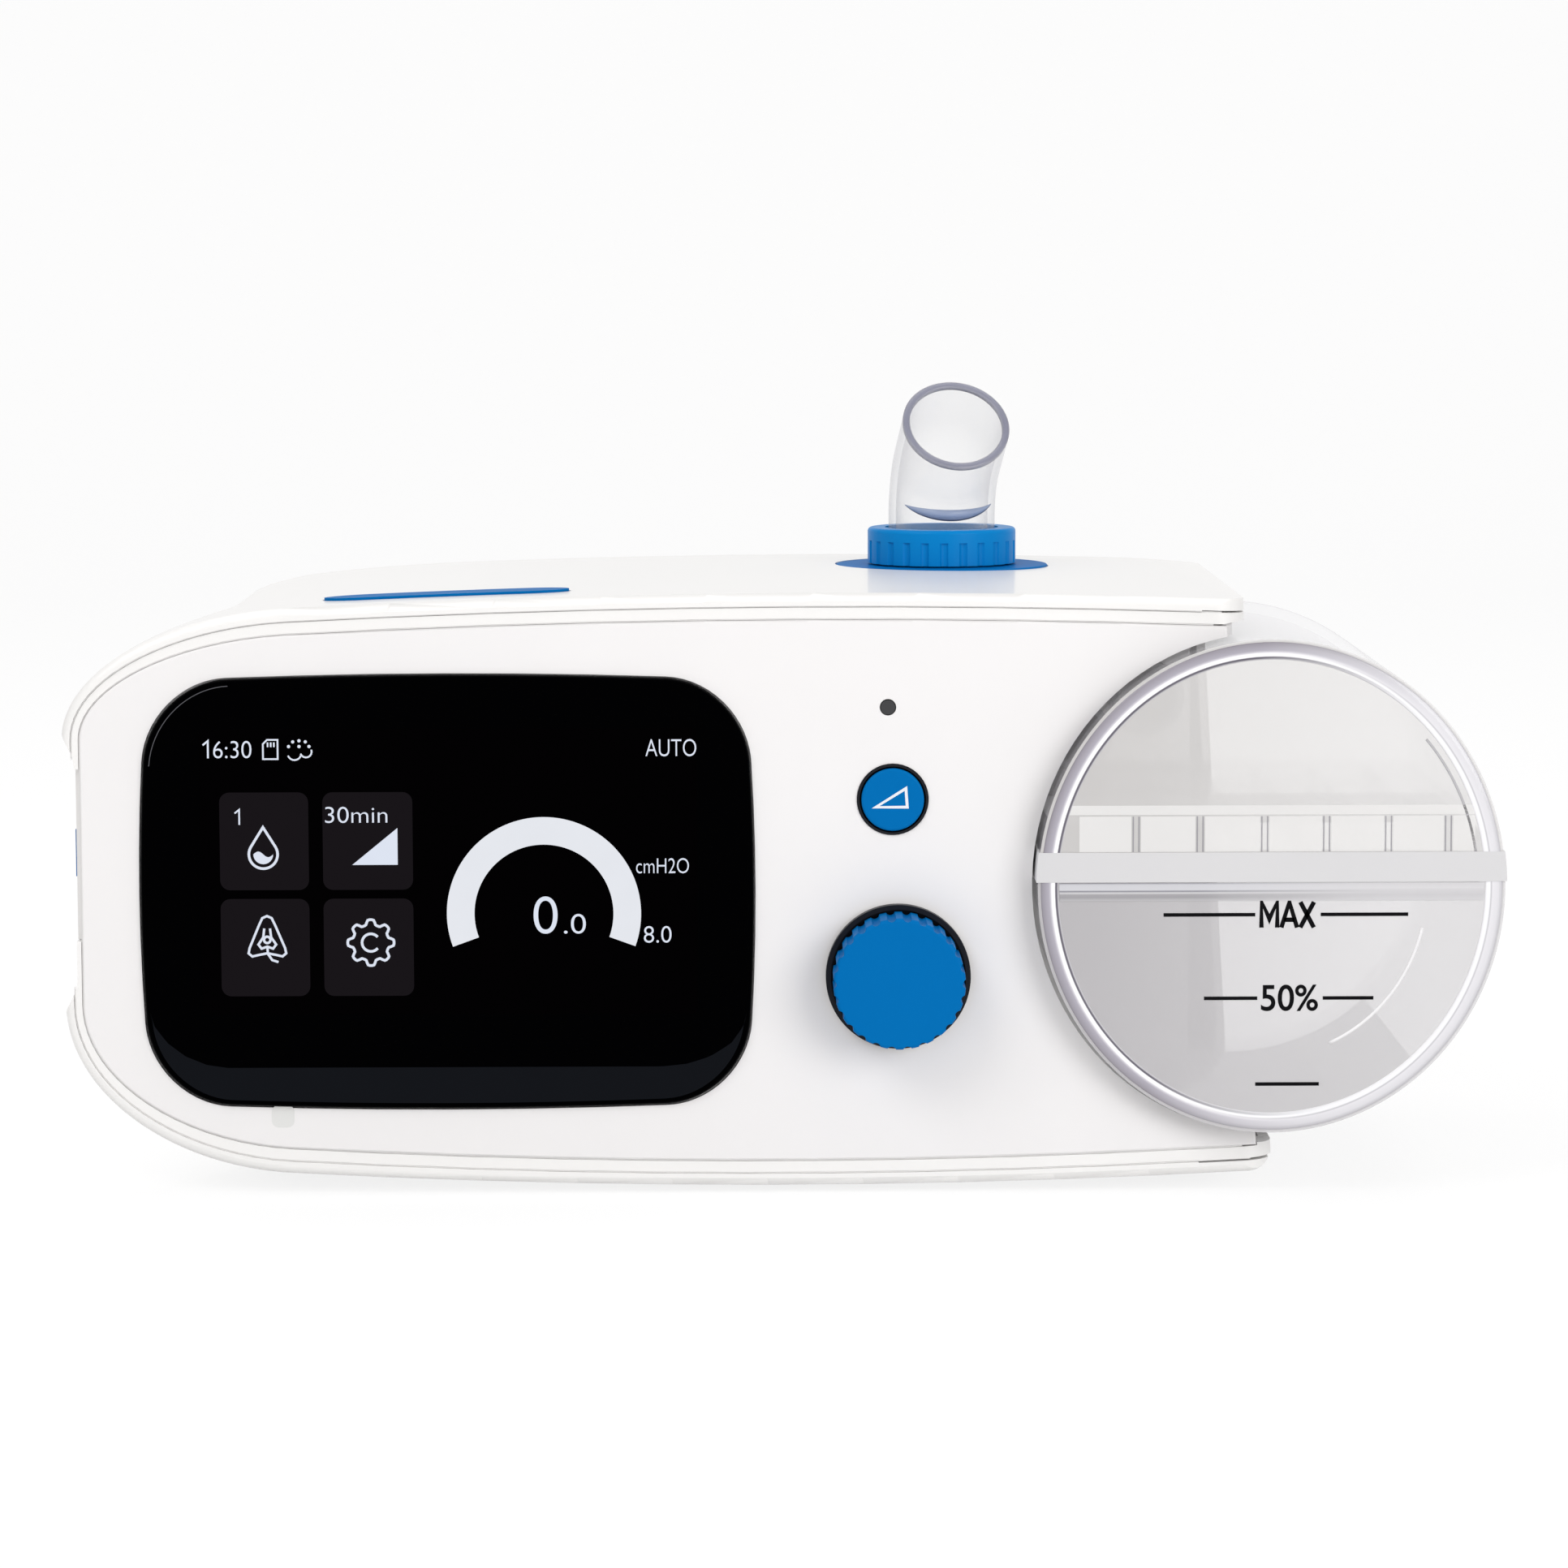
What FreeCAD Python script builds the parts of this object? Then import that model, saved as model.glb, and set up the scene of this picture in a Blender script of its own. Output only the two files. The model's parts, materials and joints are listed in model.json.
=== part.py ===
import FreeCAD, Part
import math
import os

# CPAP machine with a drum-shaped water tank, in millimetres.
# X runs to the right as seen from the front, Y to the back and Z up.
# The origin is at the centre of the bounding box, on the surface it stands on.

Vector = FreeCAD.Vector
AXIS_X = Vector(1, 0, 0)
AXIS_Y = Vector(0, 1, 0)
AXIS_Z = Vector(0, 0, 1)
FULL_TURN = 360

# Driving dimensions: casing

left_margin = 14.9             # left end of the casing to the display glass
control_zone = 53.8            # display glass to the tank
casing_depth = 125.0           # front panel to the back wall
foot_height = 1.4              # how far the feet stand out below the belly
casing_height = 114.5          # belly to the crown of the top
casing_wall = 2.4
side_wall = 1.7                # rim of the casing at its left end
crown_rise = 2.6               # arch of the top edge above its left corner
crown_tilt = 1.2               # right end of the top edge above the left corner
belly_rise = 2.7               # arch of the bottom edge
upper_corner_width = 43.0
upper_corner_height = 25.0
lower_corner_width = 43.0
lower_corner_height = 33.0
slab_top_reach = 40.2          # top slab beyond the left side of the tank
slab_bottom_reach = 46.4       # bottom slab beyond the left side of the tank
flange_depth = 13.0            # full-width part behind the front panel
flange_blend = 24.0            # hollow blend from the flange to the rear housing
housing_inset = 28.0           # left end to the left wall of the rear housing
rear_left_radius = 45.0
rear_right_radius = 25.0
edge_round = 5.0
front_edge_round = 1.6
slab_end_round = 6.0           # corners of the slab ends, seen from above
parting_height = 31.0          # where the upper and lower casings meet
scallop_depth = 2.4            # finger recess in the left end
scallop_low = 32.7
scallop_high = 92.3
scallop_blend = 10.0
scallop_ease = 5.0             # how softly the recess starts and ends

# Driving dimensions: front

seam = 0.3                     # gap between neighbouring covers
frame_lip = 2.1                # visible width of the front frame
frame_depth = 8.0
frame_set_back = 0.4
panel_thickness = 2.6
panel_boss = 3.0               # wall round the panel's openings
small_gap = 0.35               # round keys and lenses
assembly_gap = 0.2             # between parts screwed or glued in one body
overhang = 1.0                 # how far a cut runs past what it cuts

glass_middle_z = 58.75
glass_border_side = 6.25       # LCD to the side of the glass
glass_border_edge = 8.35       # LCD to the top and bottom of the glass
glass_thickness = 2.2
glass_proud = 1.2
glass_bulge = 3.0              # how far each side of the glass bows outwards
glass_corner = 17.0
glass_bevel = 1.0
gasket_thickness = 0.8
gasket_width = 5.0
lcd_width = 105.0
lcd_height = 67.0
lcd_thickness = 3.0
bracket_sheet = 0.8
bracket_rim = 2.0
display_board_thickness = 1.2
board_thickness = 1.6

# Driving dimensions: controls on the front

status_offset = 25.7           # display glass to the status light
ramp_offset = 26.6             # display glass to the ramp key
knob_offset = 27.6             # display glass to the knob
status_z = 94.1
status_radius = 1.4
ramp_z = 76.4
ramp_radius = 6.0
ramp_proud = 1.0
control_depth = 9.0             # front panel to the control board
ramp_travel = 1.0
ring_width = 0.55
knob_z = 42.4
knob_radius = 12.6
knob_rim_height = 11.0
knob_gap = 1.5                 # knob to the front panel
knob_skirt_radius = 13.9
knob_face_round = 0.8
knob_flutes = 26
flute_radius = 0.9
flute_sink = 0.25
knob_travel = 0.8
shaft_radius = 3.0
shaft_fit = 0.05
plunger_wall = 0.9
neck_bush_radius = 4.8
ring_floor = 0.3
ring_height = 2.2
stem_radius = 1.75
tact_height = 2.0
tact_entry = 0.4               # how far a key's stem stands in its switch
encoder_width = 13.0
encoder_height = 14.0
encoder_depth = 6.5
switch_width = 6.0
control_board_width = 30.0
control_board_low = 26.0
control_board_high = 101.0
lens_flange = 0.8              # step behind the status light's lens
encoder_base = 1.0
boss_inset = 3.5
boss_radius = 2.0
led_height = 1.4
knob_wall = 1.8

# Driving dimensions: start key on the top

start_inset = 49.2             # left end of the casing to the key
start_length = 47.5
start_front = 14.0             # behind the front panel
start_width = 9.0
start_proud = 0.5
start_height = 4.0
start_travel = 1.0
start_depth = 6.0              # underside of the start key to its board
start_board_half = 12.0
start_board_width = 22.0

# Driving dimensions: water tank, a drum that lies along Y

tank_half_width = 44.6
tank_half_height = 47.4
tank_axis_z = 60.0
tank_proud = 6.0               # how far it stands out of the front panel
tank_length = 104.0
tank_wall = 2.2
tank_gap = 0.8                 # running gap all round
seal_low = 61.0
seal_high = 66.7
seal_proud = 0.3
lid_cheek = 38.5               # half width between the lid's upright inner walls
rim_height = 2.6
rim_width = 4.6
baffle_top = 74.0
baffle_ribs = 6
baffle_pitch = 11.8
baffle_sheet = 1.0
port_radius = 7.5
port_wall = 1.5
air_in_offset = 31.1           # ports to the left of the drum's axis
air_in_z = 79.0
air_out_offset = 16.1
air_out_z = 87.0
cradle_wall = 2.2
bay_stop_gap = 1.6             # between the drum's back and the bay's back wall
heat_shell = 1.2
heater_thickness = 3.0
heater_offset = 29.1           # left edge of the heater from the drum's axis
heater_width = 22.0
heater_inset = 12.0

# Driving dimensions: air outlet on the top

outlet_offset = 14.8           # left side of the tank to the outlet's axis
outlet_behind = 88.0           # behind the front panel
outlet_disc_radius = 21.9
outlet_disc = 1.2
collar_radius = 15.3
collar_height = 7.3
collar_flutes = 24
neck_radius = 13.4
neck_height = 4.2
elbow_radius = 11.0            # the standard 22 mm breathing-tube taper
elbow_bore = 9.5
elbow_rise = 9.0
elbow_bend = 16.0
elbow_angle = 51.0
elbow_spout = 12.5
elbow_turn = 9.0
elbow_flange = 1.0
collar_fit = 0.1
seal_ring = 1.2
socket_depth = 20.0
groove_radius = 1.0

# Driving dimensions: blower and its air path

blower_inset = 57.0            # left wall of the rear housing to the blower's axis
duct_bend = 8.0
plenum_gap = 0.3
plenum_wall = 1.5
volute_radius = 37.0
volute_height = 26.0
volute_wall = 2.0
impeller_radius = 24.0
impeller_height = 9.0
impeller_blades = 11
impeller_gap = 1.5
motor_radius = 19.0
motor_height = 26.0
motor_shell = 1.2
motor_shaft_radius = 1.5
rotor_share = 0.5              # rotor to stator radius
blade_reach = 18.7
bearing_wall = 1.5
stator_slots = 6
slot_radius = 2.2
impeller_disc = 1.2
impeller_hub = 5.0
blade_lean = 35
mount_height = 4.0
pedestal_radius = 12.0
bearing_radius = 4.0
bearing_height = 3.0
duct_radius = 7.5
duct_wall = 1.5
inlet_hose_radius = 8.0
inlet_hose_bend = 10.0
silencer_gap = 0.2
silencer_margin = 9.0          # silencer box beyond the hose's axis
sensor_length = 22.0
sensor_width = 20.0
filter_width = 36.0
filter_height = 46.0
filter_z = 60.0
filter_thickness = 5.0
door_thickness = 2.2
silencer_depth = 14.0
silencer_wall = 1.5
hinge_pin_radius = 0.8
pin_fit = 0.05
hinge_reach = 2.8              # how far a hinge pin enters its ears
slot_count = 6
slot_height = 2.4
slot_margin = 5.0

# Driving dimensions: electrics

main_board_inset = 22.0        # left wall of the rear housing to the board
main_board_width = 102.0
main_board_front = -24.0
main_board_back = 58.0
main_board_z = 13.0
inlet_inset = 6.0              # right edge of the board to the inlet's axis
jack_width = 11.0
jack_height = 11.0
jack_length = 14.0
jack_bore = 3.2
jack_pin = 1.0
card_width = 24.0
card_length = 32.0
card_thickness = 2.1
card_z = 66.0
card_grip = 8.0                # how far the card stands out of its socket
socket_wall = 0.8
card_door_height = 28.0
card_door_width = 7.0
card_door_thickness = 1.2
card_tab_height = 9.1
card_tab_proud = 0.5
foot_radius = 6.0
screw_radius = 1.5
screw_head = 2.8
card_corner = 1.0
foot_front = 32.0              # behind the front panel
foot_back = 18.0               # in front of the back wall
foot_front_left = 34.0         # right of the rear housing's left wall
foot_back_left = 32.0
foot_front_right = 31.0        # left of the tank's axis
foot_back_right = 27.0
tower_back_left = (12.0, 28.0)    # from the housing's left wall and the back
tower_front_left = (16.0, 26.0)   # from the housing's left wall and the front
tower_back_right = (17.0, 39.0)   # left of the ramp key, from the back
tower_front_right = (9.0, 22.0)   # right of the ramp key, from the front
tower_radius = 4.2
tower_reach = 12.0             # how far a screw goes into its tower
foot_recess = 1.0
post_radius = 3.2
post_inset = 5.0
board_screw_radius = 1.2
board_screw_head = 2.2
screw_head_height = 1.2
board_screw_length = 6.0
chip = 12.0
chip_height = 1.8
coil = 9.0
can_radius = 4.0
can_height = 9.0

# Places worked out from the driving dimensions

tank_width = 2 * (tank_half_width + seal_proud)
glass_width = lcd_width + 2 * glass_border_side
glass_low = glass_middle_z - lcd_height / 2 - glass_border_edge
glass_high = glass_middle_z + lcd_height / 2 + glass_border_edge
overall_width = left_margin + glass_width + control_zone + tank_width
half_width = overall_width / 2
tank_left = half_width - tank_width
slab_end_top = tank_left + slab_top_reach
slab_end_bottom = tank_left + slab_bottom_reach
glass_left = -half_width + left_margin
glass_right = glass_left + glass_width
status_x = glass_right + status_offset
ramp_x = glass_right + ramp_offset
knob_x = glass_right + knob_offset
start_left = -half_width + start_inset
start_right = start_left + start_length
housing_left = -half_width + housing_inset
blower_x = housing_left + blower_inset
main_board_left = housing_left + main_board_inset
main_board_right = main_board_left + main_board_width
inlet_x = main_board_right - inlet_inset
outlet_x = tank_left - outlet_offset
knob_proud = knob_rim_height + knob_gap
front_y = -(casing_depth + knob_proud) / 2 + knob_proud
back_y = front_y + casing_depth
belly_z = foot_height
top_z = belly_z + casing_height
tank_x = half_width - tank_half_width - seal_proud
air_in_x = tank_x - air_in_offset
air_out_x = tank_x - air_out_offset
heater_left = tank_x - heater_offset
heater_right = heater_left + heater_width
tank_front = front_y - tank_proud
tank_back = tank_front + tank_length
bay_back = tank_back + bay_stop_gap
cradle_outside = tank_gap + cradle_wall
outlet_y = front_y + outlet_behind
panel_back = front_y + panel_thickness
card_slot_x = -half_width + scallop_depth
card_y = front_y + flange_depth - casing_wall - small_gap - socket_wall - assembly_gap - card_thickness
inner_back = back_y - casing_wall
inner_left = housing_left + casing_wall
FAR = 3 * overall_width        # longer than anything that is cut
plenum_front = bay_back + cradle_wall + plenum_gap
duct_y = plenum_front + duct_bend
blower_y = duct_y - (volute_radius - duct_radius)
volute_low = air_in_z - volute_height / 2
volute_high = air_in_z + volute_height / 2

# Helpers

def block(x0, x1, y0, y1, z0, z1):
    """Box between two corners."""
    return Part.makeBox(x1 - x0, y1 - y0, z1 - z0, Vector(x0, y0, z0))


def rod(radius, start, direction, length):
    """Cylinder from a start point along a direction."""
    return Part.makeCylinder(radius, length, start, direction)


def pipe(outer, inner, start, direction, length):
    """Straight tube."""
    return rod(outer, start, direction, length).cut(rod(inner, start, direction, length))


def prism(edges, push):
    """Solid made by pushing a closed outline along a vector."""
    return Part.Face(Part.Wire(edges)).extrude(push)


def line(start, end):
    return Part.LineSegment(start, end).toShape()


def arc(start, middle, end):
    return Part.Arc(start, middle, end).toShape()


def elliptic_corner(start, tip, end):
    """Quarter of an ellipse that touches start-tip and tip-end."""
    curve = Part.BezierCurve()
    curve.setPoles([start, tip, end])
    curve.setWeight(2, math.sqrt(0.5))
    return curve.toShape()


def turned(shape, centre, axis, angle):
    """Copy of a shape turned about an axis through a point."""
    copy = shape.copy()
    copy.rotate(centre, axis, angle)
    return copy


def moved(shape, x=0.0, y=0.0, z=0.0):
    copy = shape.copy()
    copy.translate(Vector(x, y, z))
    return copy


def united(shapes):
    """One solid from several that touch."""
    whole = shapes[0]
    for shape in shapes[1:]:
        whole = whole.fuse(shape)
    return whole.removeSplitter()


def rounded(shape, radius, chosen):
    """Fillet the edges that the chosen test picks."""
    edges = [edge for edge in shape.Edges if chosen(edge)]
    return shape.makeFillet(radius, edges)


def rounded_plate(x0, x1, z0, z1, radius, y0, y1):
    """Upright plate with four round corners, between two Y planes."""
    plate = block(x0, x1, y0, y1, z0, z1)
    upright = [edge for edge in plate.Edges if edge.BoundBox.YLength > (y1 - y0) / 2]
    return plate.makeFillet(radius, upright)


parts = {}


def keep(name, *solids):
    """Store a sub-part made of one solid or of a group of separate solids."""
    parts[name] = solids[0] if len(solids) == 1 else Part.makeCompound(list(solids))


# Casing

def edge_slope(span, rise):
    """Slope at the ends of a shallow arc."""
    radius = (span ** 2 / 4 + rise ** 2) / (2 * rise)
    return span / 2 / (radius - rise)


def front_outline(side, edge, y):
    """Outline of the casing seen from the front, set in by side and by edge."""
    left = -half_width + side
    corner_x = -half_width + upper_corner_width
    low_corner_x = -half_width + lower_corner_width
    high = top_z - crown_rise - edge
    low = belly_z + belly_rise + edge
    upper_start = top_z - crown_rise - upper_corner_height
    lower_start = belly_z + belly_rise + lower_corner_height
    right_high = slab_end_top - side
    right_low = slab_end_bottom - side
    span_high = right_high - corner_x
    span_low = right_low - low_corner_x
    tilt = math.atan(crown_tilt / span_high)
    chord = span_high / math.cos(tilt)
    bulge = crown_rise - crown_tilt / 2
    start_slope = math.tan(tilt + math.atan(edge_slope(chord, bulge)))
    upper_tip = high - start_slope * upper_corner_width
    lower_tip = low + edge_slope(span_low, belly_rise) * lower_corner_width
    a = Vector(left, y, lower_start)
    b = Vector(left, y, upper_start)
    c = Vector(corner_x, y, high)
    d = Vector(right_high, y, high + crown_tilt)
    e = Vector(right_low, y, low)
    f = Vector(low_corner_x, y, low)
    crown = Vector((corner_x + right_high) / 2 - bulge * math.sin(tilt), y,
                   high + crown_tilt / 2 + bulge * math.cos(tilt))
    belly = Vector((low_corner_x + right_low) / 2, y, low - belly_rise)
    return [line(a, b),
            elliptic_corner(b, Vector(left, y, upper_tip), c),
            arc(c, crown, d),
            line(d, e),
            arc(e, belly, f),
            elliptic_corner(f, Vector(left, y, lower_tip), a)]


def front_form(side, edge, y0, y1):
    """The front outline as a solid between two Y planes."""
    return prism(front_outline(side, edge, y0), Vector(0, y1 - y0, 0))


def quarter(centre, radius, start_angle, end_angle, z):
    """Arc in plan through its middle point."""
    points = []
    for angle in (start_angle, (start_angle + end_angle) / 2, end_angle):
        a = math.radians(angle)
        points.append(Vector(centre[0] + radius * math.cos(a), centre[1] + radius * math.sin(a), z))
    return arc(*points)


def plan_form(inset, y_front):
    """Plan of the casing as a solid: wide flange, hollow blend, narrower rear housing."""
    far_left = -half_width - flange_blend
    back = back_y - inset
    left = housing_left + inset
    flange_back = front_y + flange_depth - inset
    hollow = flange_blend + inset
    hollow_centre = (housing_left - flange_blend, front_y + flange_depth + flange_blend)
    left_round = rear_left_radius - inset
    right_round = rear_right_radius - inset
    left_centre = (housing_left + rear_left_radius, back_y - rear_left_radius)
    right_edge = slab_end_bottom - inset
    right_centre = (slab_end_bottom - rear_right_radius, back_y - rear_right_radius)
    edges = [line(Vector(far_left, y_front, 0), Vector(far_left, flange_back, 0)),
             line(Vector(far_left, flange_back, 0), Vector(hollow_centre[0], flange_back, 0)),
             quarter(hollow_centre, hollow, -90, 0, 0),
             line(Vector(left, hollow_centre[1], 0), Vector(left, left_centre[1], 0)),
             quarter(left_centre, left_round, 180, 90, 0),
             line(Vector(left_centre[0], back, 0), Vector(right_centre[0], back, 0)),
             quarter(right_centre, right_round, 90, 0, 0),
             line(Vector(right_edge, right_centre[1], 0), Vector(right_edge, y_front, 0)),
             line(Vector(right_edge, y_front, 0), Vector(far_left, y_front, 0))]
    return prism(edges, Vector(0, 0, top_z + FAR / 10))


def drum(grow, y0, y1):
    """The tank's elliptical drum, grown all round, between two Y planes."""
    centre = Vector(tank_x, y0, tank_axis_z)
    tall = Vector(tank_x, y0, tank_axis_z + tank_half_height + grow)
    wide = Vector(tank_x + tank_half_width + grow, y0, tank_axis_z)
    outline = Part.Ellipse(tall, wide, centre).toShape()
    return Part.Face(Part.Wire([outline])).extrude(Vector(0, y1 - y0, 0))


def slab_end_edge(edge):
    """Tells whether an edge is the front corner of the casing's right end."""
    box = edge.BoundBox
    at_end = box.XMin > slab_end_top - casing_wall
    upright = box.ZLength > casing_height / 2
    return at_end and upright and box.YMax < front_y + casing_wall


def rounded_end_form(y0):
    """The front outline as a solid whose right end has a round front corner."""
    return rounded(front_form(0, 0, y0, back_y), slab_end_round, slab_end_edge)


def casing_solid():
    """The casing as one block, with its round edges and its tank bay."""
    solid = front_form(0, 0, front_y, back_y).common(plan_form(0, front_y))

    def back_edge(edge):
        box = edge.BoundBox
        along_back = box.YMin > back_y - rear_left_radius - edge_round
        level = box.ZLength < upper_corner_height
        return along_back and level

    def front_edge(edge):
        return edge.BoundBox.YMax < front_y + edge_round / 2

    solid = rounded(solid, edge_round, back_edge)
    solid = rounded(solid, front_edge_round, front_edge)
    return solid.common(rounded_end_form(front_y))


def scallop():
    """Cutter for the finger recess in the left end."""
    rim = -half_width - small_gap
    floor = -half_width + scallop_depth
    high = scallop_high - scallop_blend
    low = scallop_low + scallop_blend
    upper = Part.BezierCurve()
    upper.setPoles([Vector(floor, front_y, high), Vector(floor, front_y, high + scallop_ease),
                    Vector(rim, front_y, scallop_high - scallop_ease), Vector(rim, front_y, scallop_high)])
    lower = Part.BezierCurve()
    lower.setPoles([Vector(rim, front_y, scallop_low), Vector(rim, front_y, scallop_low + scallop_ease),
                    Vector(floor, front_y, low - scallop_ease), Vector(floor, front_y, low)])
    corners = [Vector(rim, front_y, scallop_high), Vector(rim - casing_wall, front_y, scallop_high),
               Vector(rim - casing_wall, front_y, scallop_low), Vector(rim, front_y, scallop_low)]
    edges = [line(Vector(floor, front_y, low), Vector(floor, front_y, high)), upper.toShape()]
    edges += [line(corners[i], corners[i + 1]) for i in range(len(corners) - 1)]
    edges.append(lower.toShape())
    return prism(edges, Vector(0, flange_depth, 0))


lip_edge = casing_wall + seam
lip_side = side_wall + seam
casing_block = casing_solid()
bay_cut = drum(cradle_outside + assembly_gap, front_y - casing_wall, bay_back + casing_wall + assembly_gap)
cavity = front_form(side_wall, casing_wall, front_y - casing_wall, inner_back)
cavity = cavity.common(plan_form(casing_wall, front_y - casing_wall))
shell = casing_block.cut(cavity).cut(scallop())
slab_ends = block(slab_end_top - slab_end_round - casing_wall, FAR, front_y - casing_wall, back_y, 0, top_z)
end_space = front_form(-casing_wall, lip_edge - seam, front_y - casing_wall,
                       front_y + frame_set_back + frame_depth + seam)
shell = shell.cut(bay_cut).cut(end_space.common(slab_ends))

# Places on the top that the casing is cut for

start_centre_x = (start_left + start_right) / 2
start_y0 = front_y + start_front
start_y1 = start_y0 + start_width
outlet_base = Vector(outlet_x, outlet_y, top_z - outlet_disc)
neck_bore = elbow_radius + elbow_flange + collar_fit


def start_key_form(grow):
    """Plan of the start key: a long bar whose round ends taper to a point."""
    x0 = start_left - grow
    x1 = start_right + grow
    y0 = start_y0 - grow
    y1 = start_y1 + grow
    middle = (y0 + y1) / 2
    taper = start_width
    z = top_z - start_height - crown_rise
    edges = [line(Vector(x0 + taper, y0, z), Vector(x1 - taper, y0, z)),
             elliptic_corner(Vector(x1 - taper, y0, z), Vector(x1, y0, z), Vector(x1, middle, z)),
             elliptic_corner(Vector(x1, middle, z), Vector(x1, y1, z), Vector(x1 - taper, y1, z)),
             line(Vector(x1 - taper, y1, z), Vector(x0 + taper, y1, z)),
             elliptic_corner(Vector(x0 + taper, y1, z), Vector(x0, y1, z), Vector(x0, middle, z)),
             elliptic_corner(Vector(x0, middle, z), Vector(x0, y0, z), Vector(x0 + taper, y0, z))]
    return prism(edges, Vector(0, 0, start_height + 2 * crown_rise + casing_wall))


# Front: panel, frame and openings

panel_edge = lip_edge + frame_lip + seam
panel_side = lip_side + frame_lip - side_wall / 2 + seam
panel_drum = drum(tank_gap, front_y - casing_wall, front_y + frame_depth + casing_wall)


def glass_outline(inset, y):
    """Squircle of the display glass: bowed sides joined by round corners."""
    x0 = glass_left + inset
    x1 = glass_right - inset
    z0 = glass_low + inset
    z1 = glass_high - inset
    mid_x = (x0 + x1) / 2
    mid_z = (z0 + z1) / 2
    bow = glass_bulge
    turn = glass_corner
    points = [Vector(x0 + turn, y, z0 + bow / 4), Vector(mid_x, y, z0), Vector(x1 - turn, y, z0 + bow / 4),
              Vector(x1 - bow / 4, y, z0 + turn), Vector(x1, y, mid_z), Vector(x1 - bow / 4, y, z1 - turn),
              Vector(x1 - turn, y, z1 - bow / 4), Vector(mid_x, y, z1), Vector(x0 + turn, y, z1 - bow / 4),
              Vector(x0 + bow / 4, y, z1 - turn), Vector(x0, y, mid_z), Vector(x0 + bow / 4, y, z0 + turn)]
    slope_x = edge_slope(x1 - x0 - 2 * turn, bow / 4)
    slope_z = edge_slope(z1 - z0 - 2 * turn, bow / 4)
    tip_x = bow / 4 + slope_z * turn
    tip_z = bow / 4 + slope_x * turn
    tips = [Vector(x1 - tip_x, y, z0 + tip_z), Vector(x1 - tip_x, y, z1 - tip_z),
            Vector(x0 + tip_x, y, z1 - tip_z), Vector(x0 + tip_x, y, z0 + tip_z)]
    edges = []
    for i in range(len(tips)):
        a, b, c = points[3 * i:3 * i + 3]
        following = points[(3 * i + 3) % len(points)]
        edges.append(arc(a, b, c))
        edges.append(elliptic_corner(c, tips[i], following))
    return edges


def glass_form(inset, y0, y1):
    return prism(glass_outline(inset, y0), Vector(0, y1 - y0, 0))


glass_front = front_y - glass_proud
glass_back = glass_front + glass_thickness
gasket_back = glass_back + gasket_thickness
glass_seat = glass_back + assembly_gap / 2

lcd_clear = 2 * assembly_gap + bracket_sheet
lcd_opening = block((glass_left + glass_right - lcd_width) / 2 - lcd_clear,
                    (glass_left + glass_right + lcd_width) / 2 + lcd_clear,
                    glass_front, panel_back + casing_wall,
                    (glass_low + glass_high - lcd_height) / 2 - lcd_clear,
                    (glass_low + glass_high + lcd_height) / 2 + lcd_clear)
openings = [lcd_opening,
            rod(ramp_radius + ring_width + small_gap, Vector(ramp_x, front_y - casing_wall, ramp_z),
                AXIS_Y, frame_depth + casing_wall),
            rod(status_radius + small_gap / 2, Vector(status_x, front_y - casing_wall, status_z),
                AXIS_Y, frame_depth + casing_wall),
            rod(neck_bush_radius + small_gap, Vector(knob_x, front_y - casing_wall, knob_z),
                AXIS_Y, frame_depth + casing_wall),
            glass_form(-seam, front_y - casing_wall, glass_seat + gasket_thickness),
            glass_form(gasket_width, front_y - casing_wall, panel_back + casing_wall)]

front_panel = front_form(panel_side, panel_edge, front_y, panel_back)
front_panel = rounded(front_panel, front_edge_round / 4, lambda edge: edge.BoundBox.YMax < front_y + seam)
glass_rim = glass_form(-seam - panel_boss, panel_back - seam, glass_seat + gasket_thickness + casing_wall)
front_panel = front_panel.fuse(glass_rim)
for opening in openings:
    front_panel = front_panel.cut(opening)
front_panel = front_panel.cut(panel_drum)
control_board_y = panel_back + control_depth
board_x0 = ramp_x - control_board_width / 2
board_x1 = ramp_x + control_board_width / 2
for x in (board_x0 + boss_inset, board_x1 - boss_inset):
    for z in (control_board_low + boss_inset, control_board_high - boss_inset):
        front_panel = front_panel.fuse(rod(boss_radius, Vector(x, panel_back, z), AXIS_Y, control_depth))
keep("front_panel", front_panel.removeSplitter())

frame_front = front_y + frame_set_back
card_frame_x = card_slot_x + card_door_thickness + small_gap + side_wall + assembly_gap
front_frame = front_form(lip_side, lip_edge, frame_front, frame_front + frame_depth)
frame_end = front_form(0, lip_edge, frame_front, frame_front + frame_depth)
front_frame = front_frame.fuse(frame_end.common(slab_ends))
front_frame = front_frame.cut(front_form(panel_side - seam, panel_edge - seam, front_y, front_y + FAR / 10))
panel_ledge = front_form(lip_side, lip_edge, panel_back + assembly_gap, frame_front + frame_depth)
panel_ledge = panel_ledge.cut(front_form(panel_side + 2 * frame_lip, panel_edge + frame_lip,
                                         front_y, front_y + FAR / 10))
front_frame = front_frame.fuse(panel_ledge)
front_frame = front_frame.common(rounded_end_form(frame_front)).cut(scallop())
bay_clear = drum(cradle_outside + assembly_gap, front_y - casing_wall, front_y + frame_depth + casing_wall)
front_frame = front_frame.cut(bay_clear)
front_frame = front_frame.cut(block(-FAR, card_frame_x, front_y, front_y + FAR / 10,
                                    card_z - card_door_height / 2 - casing_wall - assembly_gap,
                                    card_z + card_door_height / 2 + casing_wall + assembly_gap))
front_frame = front_frame.cut(block(-FAR, FAR, card_y - small_gap, front_y + FAR / 10,
                                    card_z - card_width / 2 - small_gap,
                                    card_z + card_width / 2 + small_gap))
front_frame = front_frame.cut(glass_form(-seam - panel_boss - assembly_gap, front_y, front_y + FAR / 10))
keep("front_frame", front_frame)


# Openings in the casing

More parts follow.
